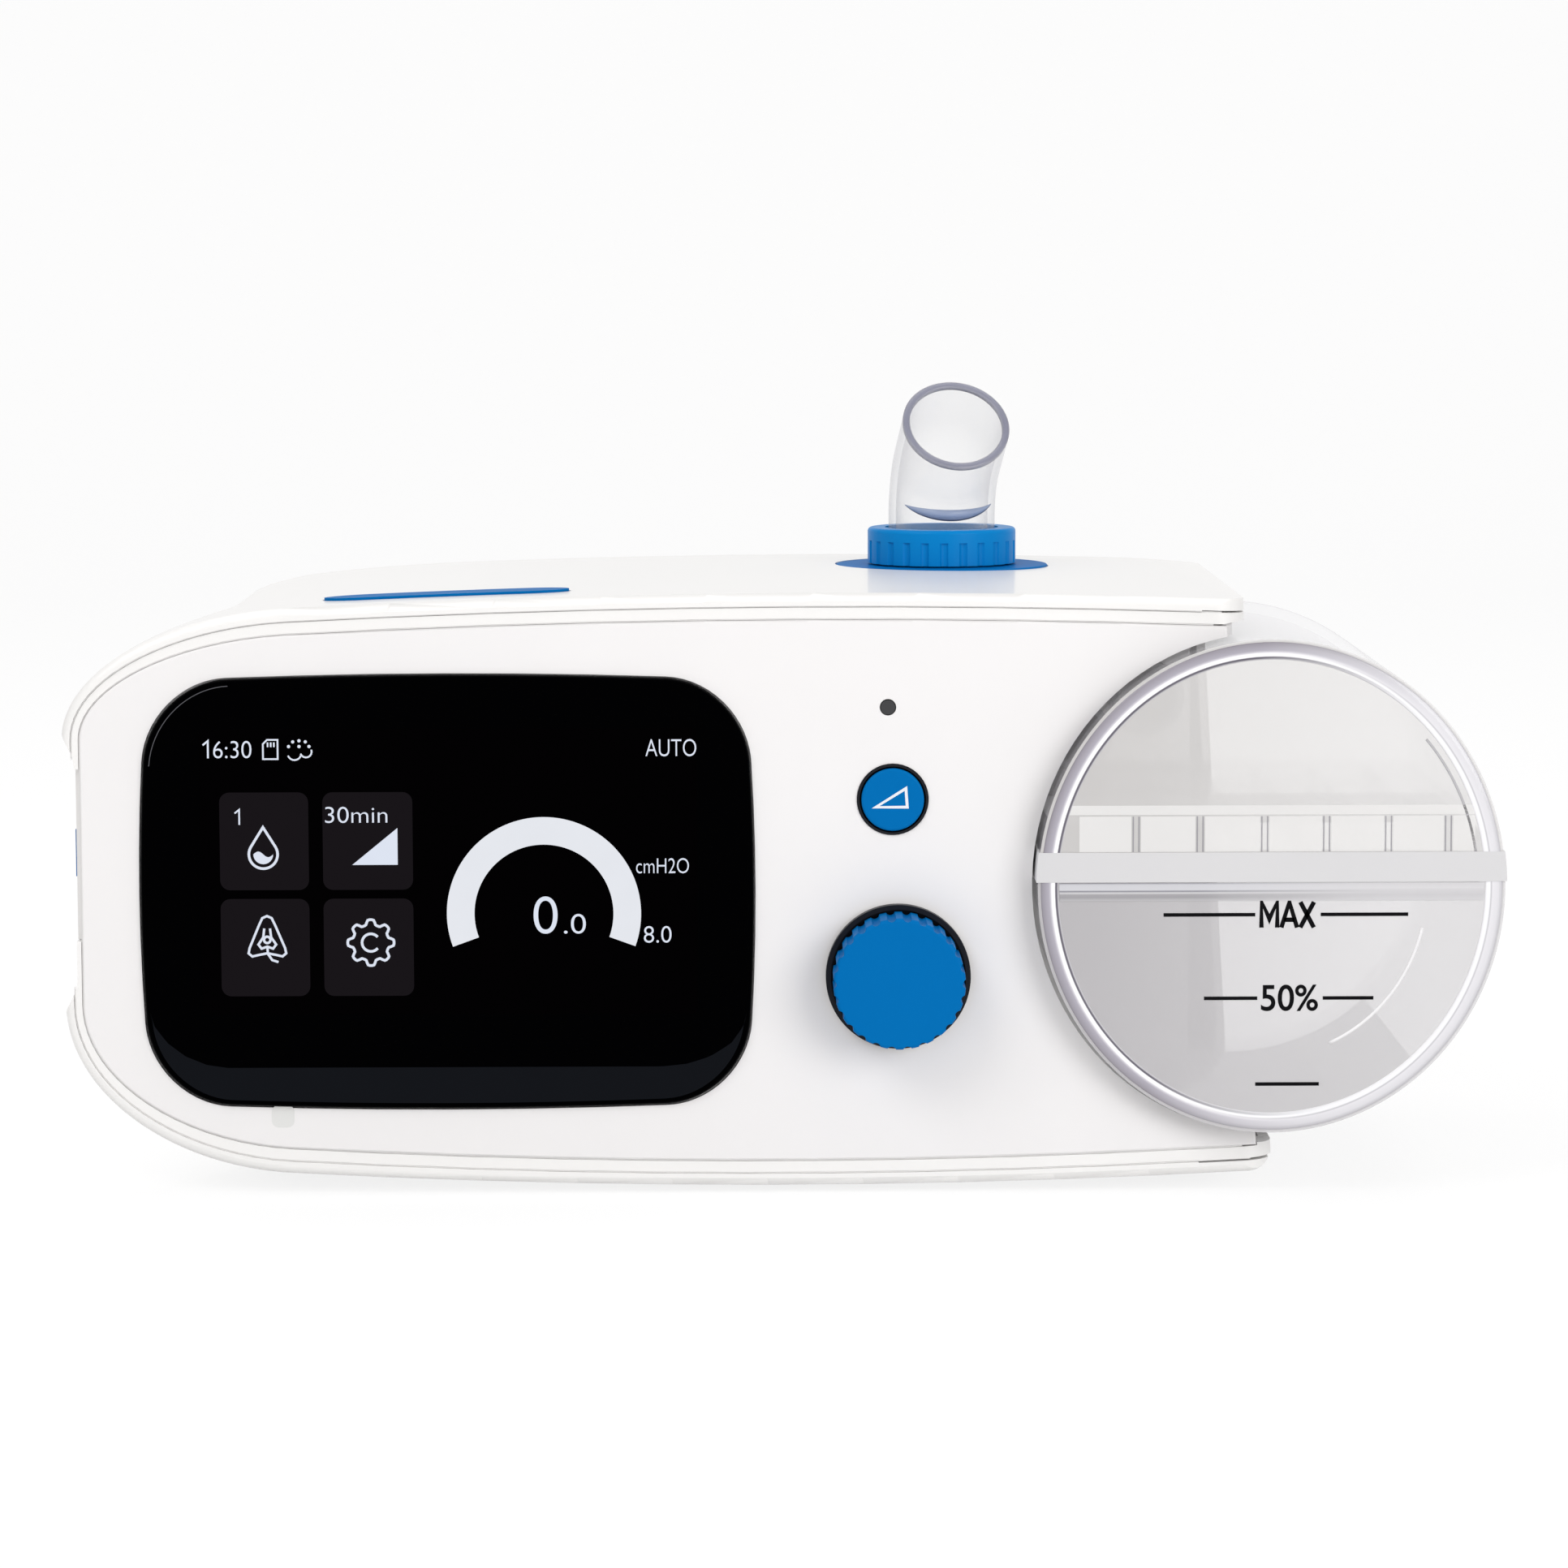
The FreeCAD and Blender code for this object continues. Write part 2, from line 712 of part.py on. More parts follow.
filter_low = filter_z - filter_height / 2
filter_high = filter_z + filter_height / 2
filter_y0 = blower_y - filter_width - assembly_gap - hinge_pin_radius
filter_y1 = filter_y0 + filter_width
jack_z = main_board_z + board_thickness + jack_height / 2
card_slot = block(card_slot_x - casing_wall, card_slot_x + side_wall + casing_wall,
                  card_y - small_gap, card_y + card_thickness + small_gap,
                  card_z - card_width / 2 - small_gap, card_z + card_width / 2 + small_gap)
card_door_y1 = front_y + flange_depth - casing_wall / 2
card_door_y0 = card_door_y1 - card_door_width
card_door_x = card_slot_x + card_door_thickness
card_pocket = block(card_slot_x - casing_wall, card_door_x + small_gap,
                    card_door_y0 - small_gap, card_door_y1 + casing_wall,
                    card_z - card_door_height / 2 - small_gap, card_z + card_door_height / 2 + small_gap)
card_backing = block(card_slot_x, card_door_x + small_gap + side_wall,
                     panel_back + assembly_gap, front_y + flange_depth - casing_wall / 2,
                     card_z - card_door_height / 2 - casing_wall,
                     card_z + card_door_height / 2 + casing_wall)
start_hole = start_key_form(small_gap)
outlet_hole = rod(outlet_disc_radius + assembly_gap, outlet_base, AXIS_Z, FAR / 10)
outlet_hole = outlet_hole.fuse(rod(neck_radius + casing_wall + assembly_gap,
                                   moved(Part.Vertex(outlet_base), z=-FAR / 20).Point, AXIS_Z, FAR / 10))
outlet_ledge = rod(outlet_disc_radius + casing_wall, Vector(outlet_x, outlet_y,
                   outlet_base.z - casing_wall), AXIS_Z, casing_wall)
filter_hole = block(housing_left - casing_wall, inner_left + casing_wall, filter_y0 + casing_wall,
                    filter_y1 - casing_wall, filter_low + casing_wall, filter_high - casing_wall)
filter_recess = block(housing_left - casing_wall, housing_left + door_thickness + small_gap,
                      filter_y0 - small_gap, filter_y1 + small_gap,
                      filter_low - small_gap, filter_high + small_gap)
filter_frame = block(housing_left + casing_wall / 2, inner_left + door_thickness,
                     filter_y0 - casing_wall, filter_y1 + casing_wall,
                     filter_low - casing_wall, filter_high + casing_wall)
jack_hole = block(inlet_x - jack_width / 2 - small_gap, inlet_x + jack_width / 2 + small_gap,
                  inner_back - casing_wall, back_y + casing_wall,
                  jack_z - jack_height / 2 - small_gap, jack_z + jack_height / 2 + small_gap)

door_hinge = Vector(housing_left + door_thickness / 2, 0, filter_low + door_thickness / 2)
card_hinge = Vector(card_slot_x + card_door_thickness / 2, card_door_y1 - card_door_thickness / 2, card_z)

# Screw towers join the lower casing to the upper casing

tower_places = [(housing_left + tower_back_left[0], back_y - tower_back_left[1]),
                (housing_left + tower_front_left[0], front_y + tower_front_left[1]),
                (ramp_x - tower_back_right[0], back_y - tower_back_right[1]),
                (ramp_x + tower_front_right[0], front_y + tower_front_right[1])]
foot_places = [(housing_left + foot_front_left, front_y + foot_front),
               (tank_x - foot_front_right, front_y + foot_front),
               (housing_left + foot_back_left, back_y - foot_back),
               (tank_x - foot_back_right, back_y - foot_back)]


def belly_at(x):
    """Height of the belly's arch at a place along X."""
    start = -half_width + lower_corner_width
    half_span = (slab_end_bottom - start) / 2
    radius = (half_span ** 2 + belly_rise ** 2) / (2 * belly_rise)
    off = x - (start + slab_end_bottom) / 2
    return belly_z + radius - math.sqrt(radius ** 2 - off ** 2)


half_above = block(-FAR, FAR, -FAR, FAR, parting_height, FAR)
half_below = block(-FAR, FAR, -FAR, FAR, -FAR, parting_height)
inside = cavity.common(casing_block).cut(bay_cut)


def tower(place):
    """Screw tower from the top of the casing to its belly."""
    return rod(tower_radius, Vector(place[0], place[1], belly_z), AXIS_Z, casing_height)


def screw_hole(place, radius, z0, z1):
    return rod(radius, Vector(place[0], place[1], z0), AXIS_Z, z1 - z0)


towers = [tower(place).common(casing_block) for place in tower_places]
screw_tops = parting_height + tower_reach
head_seat = belly_z + 2 * casing_wall + screw_head

upper_casing = shell.common(half_above)
for piece in towers + [outlet_ledge.common(casing_block), card_backing, filter_frame]:
    upper_casing = upper_casing.fuse(piece.common(half_above))
for cut in [outlet_hole, start_hole, filter_hole, filter_recess, card_slot, card_pocket]:
    upper_casing = upper_casing.cut(cut)
upper_casing = upper_casing.cut(rod(hinge_pin_radius + pin_fit, Vector(door_hinge.x,
                                    filter_y0 - hinge_reach, door_hinge.z), AXIS_Y,
                                    filter_width + 2 * hinge_reach))
upper_casing = upper_casing.cut(rod(hinge_pin_radius / 2 + pin_fit, Vector(card_hinge.x, card_hinge.y,
                                    card_z - card_door_height / 2 - hinge_reach), AXIS_Z,
                                    card_door_height + 2 * hinge_reach))
for place in tower_places:
    upper_casing = upper_casing.cut(screw_hole(place, screw_radius, parting_height, screw_tops))
upper_casing = upper_casing.removeSplitter()

lower_casing = shell.common(half_below)
for piece in towers:
    lower_casing = lower_casing.fuse(piece.common(half_below))
for place in tower_places:
    lower_casing = lower_casing.cut(screw_hole(place, screw_radius + assembly_gap, -FAR, parting_height))
    lower_casing = lower_casing.cut(screw_hole(place, screw_head + assembly_gap, -FAR, head_seat))
lower_casing = lower_casing.cut(jack_hole)
feet = []
for place in foot_places:
    top = belly_at(place[0]) + foot_recess
    feet.append(rod(foot_radius, Vector(place[0], place[1], 0), AXIS_Z, top))
    lower_casing = lower_casing.cut(rod(foot_radius + assembly_gap, Vector(place[0], place[1], -overhang),
                                        AXIS_Z, top + assembly_gap / 2 + overhang))
keep("feet", *feet)


# Tank bay: a liner that the drum slides into

port_places = [(air_in_x, air_in_z), (air_out_x, air_out_z)]
bay_form = front_form(side_wall + assembly_gap, casing_wall + assembly_gap, front_y, back_y)
cradle = drum(cradle_outside, panel_back + assembly_gap, bay_back + cradle_wall)
cradle = cradle.cut(drum(tank_gap, front_y, bay_back)).common(bay_form)
cradle = cradle.cut(block(slab_end_top - casing_wall, FAR, -FAR, FAR, 0, top_z))
heater_low = tank_axis_z - tank_half_height - FAR / 10
heater_y0 = tank_front + heater_inset
heater_y1 = tank_back - heater_inset
heater_window = block(heater_left, heater_right, heater_y0, heater_y1, heater_low, tank_axis_z)
for x, z in port_places:
    cradle = cradle.cut(rod(port_radius + small_gap, Vector(x, bay_back - cradle_wall, z),
                            AXIS_Y, 3 * cradle_wall))
cradle = cradle.cut(heater_window)
keep("tank_cradle", cradle)

# Heater plate and its film follow the drum's belly; they sit in the liner's window

window_fit = block(heater_left + small_gap, heater_right - small_gap, heater_y0 + small_gap,
                   heater_y1 - small_gap, heater_low, tank_axis_z)
plate_ring = drum(tank_gap + heater_thickness / 2, heater_y0, heater_y1).cut(
    drum(tank_gap, heater_y0, heater_y1))
keep("heater_plate", plate_ring.common(window_fit))
film_ring = drum(cradle_outside, heater_y0, heater_y1).cut(
    drum(tank_gap + heater_thickness / 2, heater_y0, heater_y1))
keep("heater_film", film_ring.common(window_fit))

# Tank: tub, lid, seal frame, baffle comb and heat shell move as one drawer

above_seal = block(-FAR, FAR, -FAR, FAR, seal_high, FAR)
below_seal = block(-FAR, FAR, -FAR, FAR, -FAR, seal_low)
cheeks = block(tank_x - lid_cheek, tank_x + lid_cheek, tank_front + tank_wall,
               tank_back - tank_wall, 0, FAR)
hollow = drum(-tank_wall, tank_front + tank_wall, tank_back - tank_wall)
drum_solid = drum(0, tank_front, tank_back)
drum_solid = drum_solid.makeFillet(tank_wall / 2, drum_solid.Edges[:1] + drum_solid.Edges[-1:])

tank_lid = drum_solid.common(above_seal).cut(hollow.common(cheeks))
for x, z in port_places:
    tank_lid = tank_lid.cut(rod(port_radius - port_wall, Vector(x, tank_back - 2 * tank_wall, z),
                                AXIS_Y, 4 * tank_wall))
keep("tank_lid", tank_lid)

tub_hollow = drum(-rim_width, tank_front + tank_wall, tank_back - tank_wall).common(
    block(-FAR, FAR, -FAR, FAR, seal_low - rim_height, FAR))
tub_inside = hollow.common(block(-FAR, FAR, -FAR, FAR, 0, seal_low - rim_height))
tank_tub = drum_solid.common(below_seal).cut(tub_hollow).cut(tub_inside)
shell_y0 = heater_y0 + small_gap
shell_y1 = heater_y1 - small_gap
shell_span = block(heater_left + 2 * small_gap, 2 * tank_x - heater_left - 2 * small_gap,
                   shell_y0, shell_y1, heater_low, tank_axis_z)
tank_tub = tank_tub.cut(drum(tank_gap, shell_y0, shell_y1).cut(
    drum(-heat_shell, shell_y0, shell_y1)).common(shell_span))
keep("tank_tub", tank_tub)
heat_form = drum(0, shell_y0, shell_y1).cut(drum(-heat_shell, shell_y0, shell_y1))
keep("tank_heat_shell", heat_form.common(shell_span))

seal_ring_form = drum(seal_proud, tank_front - seal_proud, tank_back).common(
    block(-FAR, FAR, -FAR, FAR, seal_low, seal_high))
seal_inset = tank_wall + rim_width / 2
seal_opening = drum(-rim_width, tank_front + seal_inset, tank_back - seal_inset)
keep("tank_seal", seal_ring_form.cut(seal_opening))

baffle_y0 = tank_front + tank_wall + assembly_gap
baffle_y1 = tank_back - tank_wall - assembly_gap
baffle_half = lid_cheek - assembly_gap
shelf = block(tank_x - baffle_half, tank_x + baffle_half, baffle_y0, baffle_y1,
              baffle_top - baffle_sheet, baffle_top)
ribs = []
first_rib = tank_x - baffle_pitch * (baffle_ribs - 1) / 2
for number in range(baffle_ribs):
    x = first_rib + number * baffle_pitch
    ribs.append(block(x - baffle_sheet / 2, x + baffle_sheet / 2, baffle_y0, baffle_y1,
                      seal_high, baffle_top))
vents = block(tank_x - baffle_half + baffle_pitch, tank_x + baffle_half - baffle_pitch,
              baffle_y1 - 2 * baffle_pitch, baffle_y1 - baffle_pitch, 0, baffle_top + baffle_sheet)
tank_baffle = united([shelf] + ribs).cut(vents)
for x, z in port_places:
    tank_baffle = tank_baffle.cut(rod(port_radius, Vector(x, baffle_y1 - baffle_pitch, z), AXIS_Y,
                                      2 * baffle_pitch))
keep("tank_baffle", tank_baffle)


# Display: glass, gasket, LCD, bracket and board

display_glass = glass_form(0, glass_front, glass_back)
display_glass = rounded(display_glass, glass_bevel, lambda edge: edge.BoundBox.YMax < glass_front + seam)
keep("display_glass", display_glass)
lcd_x = (glass_left + glass_right) / 2
lcd_z = (glass_low + glass_high) / 2
lcd_x0 = lcd_x - lcd_width / 2
lcd_x1 = lcd_x + lcd_width / 2
lcd_z0 = lcd_z - lcd_height / 2
lcd_z1 = lcd_z + lcd_height / 2
lcd_back = glass_back + lcd_thickness
gasket = glass_form(seam, glass_back, gasket_back).cut(glass_form(gasket_width, glass_back, gasket_back))
gasket = gasket.cut(block(lcd_x0 - assembly_gap, lcd_x1 + assembly_gap, glass_back, gasket_back,
                          lcd_z0 - assembly_gap, lcd_z1 + assembly_gap))
keep("glass_gasket", gasket)
keep("lcd_module", block(lcd_x0, lcd_x1, glass_back, lcd_back, lcd_z0, lcd_z1))
bracket_back = lcd_back + bracket_sheet
bracket = block(lcd_x0 - assembly_gap - bracket_sheet, lcd_x1 + assembly_gap + bracket_sheet,
                glass_back + gasket_thickness, bracket_back,
                lcd_z0 - assembly_gap - bracket_sheet, lcd_z1 + assembly_gap + bracket_sheet)
bracket = bracket.cut(block(lcd_x0 - assembly_gap, lcd_x1 + assembly_gap, glass_back, lcd_back,
                            lcd_z0 - assembly_gap, lcd_z1 + assembly_gap))
bracket_window = rounded_plate(lcd_x0 + lcd_width / 4, lcd_x1 - lcd_width / 4, lcd_z0 + lcd_height / 4,
                               lcd_z1 - lcd_height / 4, bracket_rim, lcd_back, bracket_back)
keep("lcd_bracket", bracket.cut(bracket_window))
display_board_back = bracket_back + display_board_thickness
card_x0 = card_slot_x + card_door_thickness + 2 * small_gap
card_x1 = card_x0 + card_length
keep("display_board", rounded_plate(card_x0 + card_grip, lcd_x1, lcd_z0, lcd_z1, bracket_rim,
                                    bracket_back, display_board_back))

# Memory card in its socket on the back of the display board

card = block(card_x0, card_x1, card_y, card_y + card_thickness,
             card_z - card_width / 2, card_z + card_width / 2)
card = rounded(card, card_corner, lambda edge: edge.BoundBox.YLength > card_thickness / 2)
keep("memory_card", card)
socket_x0 = card_x0 + card_grip
card_socket = block(socket_x0, card_x1 + assembly_gap + socket_wall, display_board_back,
                    card_y + card_thickness + assembly_gap + socket_wall,
                    card_z - card_width / 2 - assembly_gap - socket_wall,
                    card_z + card_width / 2 + assembly_gap + socket_wall)
card_socket = card_socket.cut(block(-FAR, card_x1 + assembly_gap, card_y - assembly_gap,
                                    card_y + card_thickness + assembly_gap,
                                    card_z - card_width / 2 - assembly_gap,
                                    card_z + card_width / 2 + assembly_gap))
keep("card_socket", card_socket)

door_low = card_z - card_door_height / 2
door_high = card_z + card_door_height / 2
hinge_edge = rod(card_door_thickness / 2, Vector(card_hinge.x, card_hinge.y, door_low), AXIS_Z,
                 card_door_height)
card_door = block(card_slot_x, card_door_x, card_door_y0, card_hinge.y, door_low, door_high).fuse(hinge_edge)
tab = block(card_slot_x - card_tab_proud, card_slot_x, card_door_y0 + card_tab_proud,
            card_hinge.y - 2 * card_door_thickness, card_z - card_tab_height / 2,
            card_z + card_tab_height / 2)
card_door = card_door.fuse(tab)
card_pin_radius = hinge_pin_radius / 2
card_pin_start = Vector(card_hinge.x, card_hinge.y, door_low - overhang)
card_door = card_door.cut(rod(card_pin_radius + pin_fit, card_pin_start, AXIS_Z,
                              card_door_height + 2 * overhang)).removeSplitter()
keep("card_door", card_door)
card_door_pin = rod(card_pin_radius, Vector(card_hinge.x, card_hinge.y, door_low - hinge_reach), AXIS_Z,
                    card_door_height + 2 * hinge_reach)

# Front controls on their own board

control_board = rounded_plate(board_x0, board_x1, control_board_low, control_board_high, bracket_rim,
                              control_board_y, control_board_y + board_thickness)
keep("control_board", control_board)

ramp_front = front_y - ramp_proud
cap = rod(ramp_radius, Vector(ramp_x, ramp_front, ramp_z), AXIS_Y, panel_back - ramp_front)
cap = rounded(cap, glass_bevel / 2, lambda edge: edge.BoundBox.YMax < ramp_front + seam)
ring_inner = ramp_radius + small_gap
ring_outer = ring_inner + ring_width - assembly_gap / 2
tact_top = control_board_y - tact_height
ramp_button = cap.fuse(rod(stem_radius, Vector(ramp_x, panel_back, ramp_z), AXIS_Y,
                           tact_top + tact_entry - panel_back))
keep("ramp_button", ramp_button)
ramp_ring = pipe(ring_outer, ring_inner, Vector(ramp_x, front_y - small_gap, ramp_z), AXIS_Y,
                 panel_thickness + small_gap)
tact = switch_width / 2
well_radius = stem_radius + assembly_gap / 2
ramp_switch = block(ramp_x - tact, ramp_x + tact, tact_top, control_board_y,
                    ramp_z - tact, ramp_z + tact)
ramp_switch = ramp_switch.cut(rod(well_radius, Vector(ramp_x, tact_top, ramp_z), AXIS_Y,
                                  tact_entry + ramp_travel + assembly_gap))
light_pipe = rod(status_radius, Vector(status_x, front_y - small_gap / 2, status_z), AXIS_Y,
                 control_board_y - front_y - led_height)
light_pipe = light_pipe.fuse(rod(status_radius + lens_flange,
                                 Vector(status_x, panel_back + assembly_gap, status_z),
                                 AXIS_Y, board_thickness / 2))
keep("status_light_pipe", light_pipe)
keep("status_led", block(status_x - status_radius, status_x + status_radius,
                         control_board_y - led_height + assembly_gap, control_board_y,
                         status_z - status_radius, status_z + status_radius))

# Knob on a push encoder: the knob and shaft turn in a plunger that slides in the body

knob_front = front_y - knob_proud
knob = rod(knob_radius, Vector(knob_x, knob_front, knob_z), AXIS_Y, knob_rim_height)
knob = rounded(knob, knob_face_round, lambda edge: edge.BoundBox.YMax < knob_front + seam)
flute_distance = knob_radius + flute_radius - flute_sink - small_gap
for number in range(knob_flutes):
    angle = math.radians(FULL_TURN * number / knob_flutes)
    start = Vector(knob_x + flute_distance * math.cos(angle), knob_front - overhang,
                   knob_z + flute_distance * math.sin(angle))
    knob = knob.cut(rod(flute_radius, start, AXIS_Y, knob_rim_height + 2 * overhang))
hub_radius = shaft_radius + knob_wall
knob_hollow = pipe(knob_radius - knob_wall, hub_radius,
                   Vector(knob_x, knob_front + 2 * knob_wall, knob_z), AXIS_Y, knob_rim_height)
shaft_front = knob_front + 2 * knob_wall
knob = knob.cut(knob_hollow)
knob = knob.cut(rod(shaft_radius + shaft_fit / 5, Vector(knob_x, shaft_front, knob_z), AXIS_Y,
                    knob_rim_height))
keep("knob", knob)
ring = rod(knob_skirt_radius, Vector(knob_x, front_y - ring_height, knob_z), AXIS_Y, ring_height)
ring = ring.cut(rod(knob_radius + small_gap, Vector(knob_x, front_y - ring_height, knob_z), AXIS_Y,
                    ring_height - ring_floor))
ring = ring.cut(rod(neck_bush_radius + small_gap, Vector(knob_x, front_y - ring_height, knob_z),
                    AXIS_Y, ring_height))
keep("control_rings", ring, ramp_ring)
plunger_radius = shaft_radius + shaft_fit + plunger_wall
encoder_y0 = control_board_y - encoder_depth
encoder_floor = control_board_y - encoder_base
encoder_bore = rod(plunger_radius + shaft_fit, Vector(knob_x, front_y - overhang, knob_z), AXIS_Y,
                   encoder_floor - front_y + overhang)
encoder_body = block(knob_x - encoder_width / 2, knob_x + encoder_width / 2, encoder_y0,
                     control_board_y, knob_z - encoder_height / 2, knob_z + encoder_height / 2)
encoder_body = encoder_body.fuse(rod(neck_bush_radius, Vector(knob_x, front_y, knob_z), AXIS_Y,
                                     encoder_y0 - front_y)).cut(encoder_bore)
keep("encoder_body", encoder_body)
plunger_end = encoder_floor - knob_travel - small_gap
keep("encoder_plunger", pipe(plunger_radius, shaft_radius + shaft_fit,
                             Vector(knob_x, front_y + small_gap, knob_z), AXIS_Y,
                             plunger_end - front_y - small_gap))
keep("knob_shaft", rod(shaft_radius, Vector(knob_x, shaft_front, knob_z), AXIS_Y,
                       plunger_end - shaft_front))

# Start key on the top with its switch and board

start_y = (start_y0 + start_y1) / 2
start_under = top_z - start_height - crown_rise
start_board_top = start_under - start_depth
start_tact_top = start_board_top + tact_height
start_button = start_key_form(0).common(front_form(0, -start_proud, front_y, back_y))
start_button = start_button.fuse(rod(stem_radius, Vector(start_centre_x, start_y,
                                     start_tact_top - tact_entry), AXIS_Z,
                                     start_under - start_tact_top + tact_entry + start_proud))
keep("start_button", start_button)
keep("start_board", block(start_centre_x - start_board_half, start_centre_x + start_board_half,
                          start_y - start_board_width / 2, start_y + start_board_width / 2,
                          start_board_top - board_thickness, start_board_top))
start_switch = block(start_centre_x - tact, start_centre_x + tact, start_y - tact, start_y + tact,
                     start_board_top, start_tact_top)
start_well = tact_entry + start_travel + assembly_gap
start_switch = start_switch.cut(rod(well_radius, Vector(start_centre_x, start_y,
                                    start_tact_top - start_well), AXIS_Z, start_well))
keep("key_switches", ramp_switch, start_switch)


# Air outlet: flush flange with a socket, locking collar and a clear elbow that swivels

disc_top = outlet_base.z + outlet_disc
socket_low = outlet_base.z - socket_depth
neck_top = disc_top + neck_height
stub_radius = elbow_radius + collar_fit
socket = rod(outlet_disc_radius, outlet_base, AXIS_Z, outlet_disc)
socket = rounded(socket, outlet_disc / 3, lambda edge: edge.BoundBox.ZMin > disc_top - seam)
socket = socket.fuse(rod(neck_radius, Vector(outlet_x, outlet_y, socket_low), AXIS_Z,
                         neck_top - socket_low))
ring_seat = neck_top - elbow_flange * 2
socket = socket.cut(rod(neck_bore, Vector(outlet_x, outlet_y, ring_seat), AXIS_Z, socket_depth))
socket = socket.cut(rod(stub_radius, Vector(outlet_x, outlet_y, socket_low + casing_wall), AXIS_Z, FAR))
socket = socket.cut(rod(elbow_bore, Vector(outlet_x, outlet_y, socket_low), AXIS_Z, FAR))
ring_groove_z = outlet_base.z - socket_depth / 2
ring_space = Part.makeTorus(stub_radius, seal_ring / 2, Vector(outlet_x, outlet_y, ring_groove_z), AXIS_Z)
groove_space = Part.makeTorus(stub_radius, seal_ring / 2 + collar_fit,
                              Vector(outlet_x, outlet_y, ring_groove_z), AXIS_Z)
elbow_low = socket_low + casing_wall + small_gap
keep("outlet_socket", socket.cut(groove_space))
keep("elbow_seal", ring_space)

collar_low = disc_top + small_gap
collar_top = collar_low + collar_height
collar = rod(collar_radius, Vector(outlet_x, outlet_y, collar_low), AXIS_Z, collar_height)
collar = rounded(collar, front_edge_round / 2, lambda edge: edge.BoundBox.ZMin > collar_top - seam)
collar = collar.cut(rod(neck_radius + collar_fit, Vector(outlet_x, outlet_y, collar_low), AXIS_Z,
                        neck_top + small_gap - collar_low))
collar = collar.cut(rod(elbow_radius + small_gap * 2, Vector(outlet_x, outlet_y, collar_low), AXIS_Z,
                        FAR / 10))
groove_distance = collar_radius + groove_radius / 2
for number in range(collar_flutes):
    angle = math.radians(FULL_TURN * number / collar_flutes)
    start = Vector(outlet_x + groove_distance * math.cos(angle),
                   outlet_y + groove_distance * math.sin(angle), collar_low - overhang)
    collar = collar.cut(rod(groove_radius, start, AXIS_Z, collar_height - front_edge_round))
keep("collar", collar)

bend_z = disc_top + elbow_rise
bend_start = Vector(outlet_x, outlet_y, bend_z)
bend_centre = Vector(outlet_x, outlet_y - elbow_bend, bend_z)


def elbow_form(radius, low, extra):
    """Vertical stub, bend towards the front and straight spout, all of one radius."""
    stub = rod(radius, Vector(outlet_x, outlet_y, low), AXIS_Z, bend_z - low)
    section = Part.Face(Part.Wire([Part.Circle(bend_start, AXIS_Z, radius).toShape()]))
    bend = section.revolve(bend_centre, AXIS_X, elbow_angle)
    lean = math.radians(elbow_angle)
    end = Vector(outlet_x, bend_centre.y + elbow_bend * math.cos(lean), bend_z + elbow_bend * math.sin(lean))
    spout = rod(radius, end, Vector(0, -math.sin(lean), math.cos(lean)), elbow_spout + extra)
    return stub.fuse(bend).fuse(spout)


elbow = elbow_form(elbow_radius, elbow_low, 0)
elbow = elbow.fuse(rod(elbow_radius + elbow_flange, Vector(outlet_x, outlet_y, ring_seat + small_gap / 3),
                       AXIS_Z, elbow_flange))
elbow = elbow.cut(elbow_form(elbow_bore, elbow_low - overhang, overhang)).cut(groove_space)
elbow = turned(elbow, bend_start, AXIS_Z, elbow_turn)
keep("elbow", elbow)


# Outlet plenum: carries the air from the tank's outlet port to the socket

plenum_low = air_in_z + duct_radius + 2 * plenum_gap
plenum_top = socket_low + 2 * plenum_wall
plenum_back = duct_y + duct_radius
plenum_left = outlet_x - neck_radius - plenum_wall
plenum_right = air_out_x + port_radius + plenum_wall
plenum_step = air_in_x + duct_radius + 2 * plenum_gap
arm_right = outlet_x + neck_radius + plenum_wall / 3
arm_front = outlet_y - neck_radius - plenum_wall


def plenum_form(inset):
    """Arm under the socket, a bar along the back wall and a drop to the port."""
    arm = block(plenum_left + inset, arm_right - inset, arm_front + inset, plenum_back - inset,
                plenum_low + inset, plenum_top - inset)
    bar = block(plenum_left + inset, plenum_right - inset, plenum_front + inset, plenum_back - inset,
                plenum_low + inset, plenum_top - inset)
    drop = block(plenum_step + inset, plenum_right - inset, plenum_front + inset, plenum_back - inset,
                 air_out_z - port_radius - plenum_wall + inset, plenum_top - inset)
    return united([arm, bar, drop])


def within_casing(solid, inset):
    """The part of a solid that lies inside the casing's walls."""
    outline = front_form(side_wall + inset, casing_wall + inset, front_y, back_y)
    return solid.common(outline).common(plan_form(casing_wall + inset, front_y))


plenum = within_casing(plenum_form(0), assembly_gap)
plenum = plenum.cut(within_casing(plenum_form(plenum_wall), assembly_gap + plenum_wall))
plenum = plenum.cut(rod(neck_radius + collar_fit, Vector(outlet_x, outlet_y, socket_low), AXIS_Z, FAR / 10))
plenum = plenum.cut(rod(port_radius - port_wall, Vector(air_out_x, plenum_front - overhang, air_out_z),
                        AXIS_Y, overhang + 2 * plenum_wall))
keep("outlet_plenum", plenum)

seals = []
seal_start = tank_back + plenum_gap
for x, z in port_places:
    seals.append(pipe(port_radius, port_radius - port_wall, Vector(x, seal_start, z), AXIS_Y,
                      plenum_front - seal_start))
keep("port_seals", *seals)

# Blower: a volute in two halves round an impeller, with its motor below

